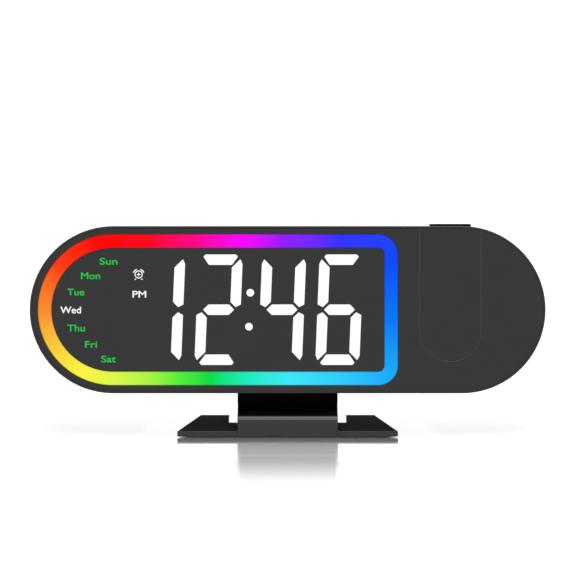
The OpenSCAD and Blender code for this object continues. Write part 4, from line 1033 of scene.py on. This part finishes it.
# White that the eye sees in the table beside its lit colour, so that the shadow stays pale.
FLOOR_WHITE = 0.38

# Share of the table's light that is mirrored, by the distance in millimetres from a line along the middle
# of the base. The line ends at BASE_HALF on both sides, and in the distance x counts double.
GLOSS_REACH = 200.0
GLOSS = [
    (0, 0.95), (38, 0.94), (44, 0.77), (61, 0.71), (84, 0.71), (107, 0.61), (133, 0.45), (153, 0.32),
    (166, 0.26), (180, 0.2), (200, 0.0),
]
BASE_HALF = (42.0, 0.0, 0.0)
GLOSS_OVAL = (2.0, 1.0, 1.0)
# Where a place is both beside the neck and away from the base, the gloss fades out sooner: with the area, in
# square millimetres, of the rectangle between the place and this corner.
STAND_CORNER = (20.0, 50.0, 0.0)
CORNER_AREA = 250.0
# Facing value of a look along the table at the height of the eye, and how fast the gloss fades above it.
GRAZING = 0.87
FADE = 3.0

# Lamps: name, place and diameter in metres, and power in watts. LAMP_AIM is the place that they face.
LAMPS = [
    ("ceiling_lamp", (0.0, -0.35, 1.3), 1.1, 6.0),
    ("back_lamp", (0.9, 1.3, 1.2), 1.2, 4.0),
]
LAMP_AIM = (0, 0, 0.05)

# The camera: side of its square view in pixels, pixels per millimetre of the clock's face, focal length and
# sensor width in millimetres, nearest and farthest depth in metres, and the pixel of the case's middle.
FRAME_PX = 576
PX_PER_MM = 2.3243
FOCAL = 1600.0
SENSOR = 36.0
CLIP = (0.1, 30)
CASE_MIDDLE_PX = (287.63, 309.7)


def world_light():
    """A soft white room: lighting rays see it a little dimmer than the eye, mirrors and glass do."""
    world = bpy.data.worlds.new("soft_white_room")
    bpy.context.scene.world = world
    world.use_nodes = True
    tree = world.node_tree
    tree.nodes.clear()
    path = add(tree, "ShaderNodeLightPath").outputs
    seen = path["Is Camera Ray"]
    for kind in ("Is Glossy Ray", "Is Transmission Ray"):
        seen = add(tree, "ShaderNodeMath", {0: seen, 1: path[kind]}, operation="MAXIMUM").outputs["Value"]
    level = {"Value": seen, "To Min": ROOM_LIGHT, "To Max": 1.0}
    strength = add(tree, "ShaderNodeMapRange", level).outputs["Result"]
    light = add(tree, "ShaderNodeBackground", {"Color": WHITE, "Strength": strength})
    add(tree, "ShaderNodeOutputWorld", {"Surface": light.outputs["Background"]})


def beyond(tree, size, corner):
    """How far a place lies beyond a corner along each axis: max(size - corner, 0), where size is its distance
    from the stand's middle."""
    past = add(tree, "ShaderNodeVectorMath", {0: size, 1: upright(corner)}, operation="SUBTRACT").outputs
    return add(tree, "ShaderNodeVectorMath", {0: past["Vector"]}, operation="MAXIMUM").outputs["Vector"]


def table_gloss(tree):
    """Share of the table's light that is mirrored. It fades with the distance from the stand, and the more
    the table is looked down on."""
    place = add(tree, "ShaderNodeTexCoord").outputs["Object"]
    size = add(tree, "ShaderNodeVectorMath", {0: place}, operation="ABSOLUTE").outputs["Vector"]
    past = {0: beyond(tree, size, BASE_HALF), 1: GLOSS_OVAL}
    oval = add(tree, "ShaderNodeVectorMath", past, operation="MULTIPLY").outputs["Vector"]
    far = add(tree, "ShaderNodeVectorMath", {0: oval}, operation="LENGTH").outputs["Value"]
    portion = add(tree, "ShaderNodeMath", {0: far, 1: GLOSS_REACH * MM}, operation="DIVIDE").outputs["Value"]
    share = stops(tree, portion, [(distance / GLOSS_REACH, part) for distance, part in GLOSS])
    parts = add(tree, "ShaderNodeSeparateXYZ", {"Vector": beyond(tree, size, STAND_CORNER)}).outputs
    area = add(tree, "ShaderNodeMath", {0: parts["X"], 1: parts["Y"]}, operation="MULTIPLY").outputs["Value"]
    fade = {"Value": area, "From Max": CORNER_AREA * MM**2, "To Min": 1.0, "To Max": 0.0}
    corner = add(tree, "ShaderNodeMapRange", fade).outputs["Result"]
    facing = add(tree, "ShaderNodeLayerWeight").outputs["Facing"]
    slope = add(tree, "ShaderNodeMath", {0: facing, 1: GRAZING}, operation="DIVIDE").outputs["Value"]
    low = add(tree, "ShaderNodeMath", {0: slope, 1: FADE}, operation="POWER", use_clamp=True).outputs["Value"]
    gloss = add(tree, "ShaderNodeMath", {0: share, 1: low}, operation="MULTIPLY").outputs["Value"]
    return add(tree, "ShaderNodeMath", {0: gloss, 1: corner}, operation="MULTIPLY").outputs["Value"]


def floor():
    """A white table top, polished round the stand."""
    material, tree = new_material("white_table_top")
    gloss = table_gloss(tree)
    white = add(tree, "ShaderNodeBsdfDiffuse", {"Color": linear(FLOOR_COLOUR)}).outputs["BSDF"]
    seen = add(tree, "ShaderNodeLightPath").outputs["Is Camera Ray"]
    strength = add(tree, "ShaderNodeMath", {0: seen, 1: FLOOR_WHITE}, operation="MULTIPLY").outputs["Value"]
    pale = add(tree, "ShaderNodeEmission", {"Color": WHITE, "Strength": strength}).outputs["Emission"]
    matte = add(tree, "ShaderNodeAddShader", {0: white, 1: pale}).outputs["Shader"]
    mirror = add(tree, "ShaderNodeBsdfGlossy", {"Color": WHITE, "Roughness": FLOOR_ROUGH}).outputs["BSDF"]
    mix = add(tree, "ShaderNodeMixShader", {0: gloss, 1: matte, 2: mirror}).outputs["Shader"]
    add(tree, "ShaderNodeOutputMaterial", {"Surface": mix})
    mesh = bpy.data.meshes.new("table_top")
    half, z = TABLE_HALF, FLOOR_Z * MM
    corners = [(-half, -half, z), (half, -half, z), (half, half, z), (-half, half, z)]
    mesh.from_pydata(corners, [], [(0, 1, 2, 3)])
    mesh.materials.append(material)
    made = bpy.data.objects.new("table_top", mesh)
    bpy.context.scene.collection.objects.link(made)


def softbox(name, place, size, power):
    """A large soft round lamp that faces the clock."""
    lamp = bpy.data.lights.new(name, "AREA")
    lamp.shape = "DISK"
    lamp.size = size
    lamp.energy = power
    made = bpy.data.objects.new(name, lamp)
    made.location = place
    made.rotation_euler = (Vector(LAMP_AIM) - Vector(place)).to_track_quat("-Z", "Y").to_euler()
    bpy.context.scene.collection.objects.link(made)


def camera():
    """A long lens square to the leaning face, framed so that the case's middle lands on its pixel."""
    width = FRAME_PX / PX_PER_MM * MM
    distance = width * FOCAL / SENSOR
    offset = (np.array(CASE_MIDDLE_PX) - FRAME_PX / 2) / PX_PER_MM * MM
    aim = leaned([0, 0, 0]) - ACROSS * offset[0] + UP * offset[1]
    lens = bpy.data.cameras.new("camera")
    lens.lens, lens.sensor_width = FOCAL, SENSOR
    lens.clip_start, lens.clip_end = CLIP
    made = bpy.data.objects.new("camera", lens)
    made.location = Vector(aim - DEEP * distance)
    made.rotation_euler = Vector(DEEP).to_track_quat("-Z", "Y").to_euler()
    bpy.context.scene.collection.objects.link(made)
    bpy.context.scene.camera = made


bpy.context.scene.view_settings.view_transform = "Standard"
camera()
world_light()
floor()
for lamp in LAMPS:
    softbox(*lamp)

for node in FINISH_OF:
    dress(node)
for skin in SKINS:
    smooth_copy(*skin)
panel()
projector_lens()
usb_port()
lit_ring()
lit_digits()
lit_colon()
signs()
rear_marks()
stand_base()
stand_neck()
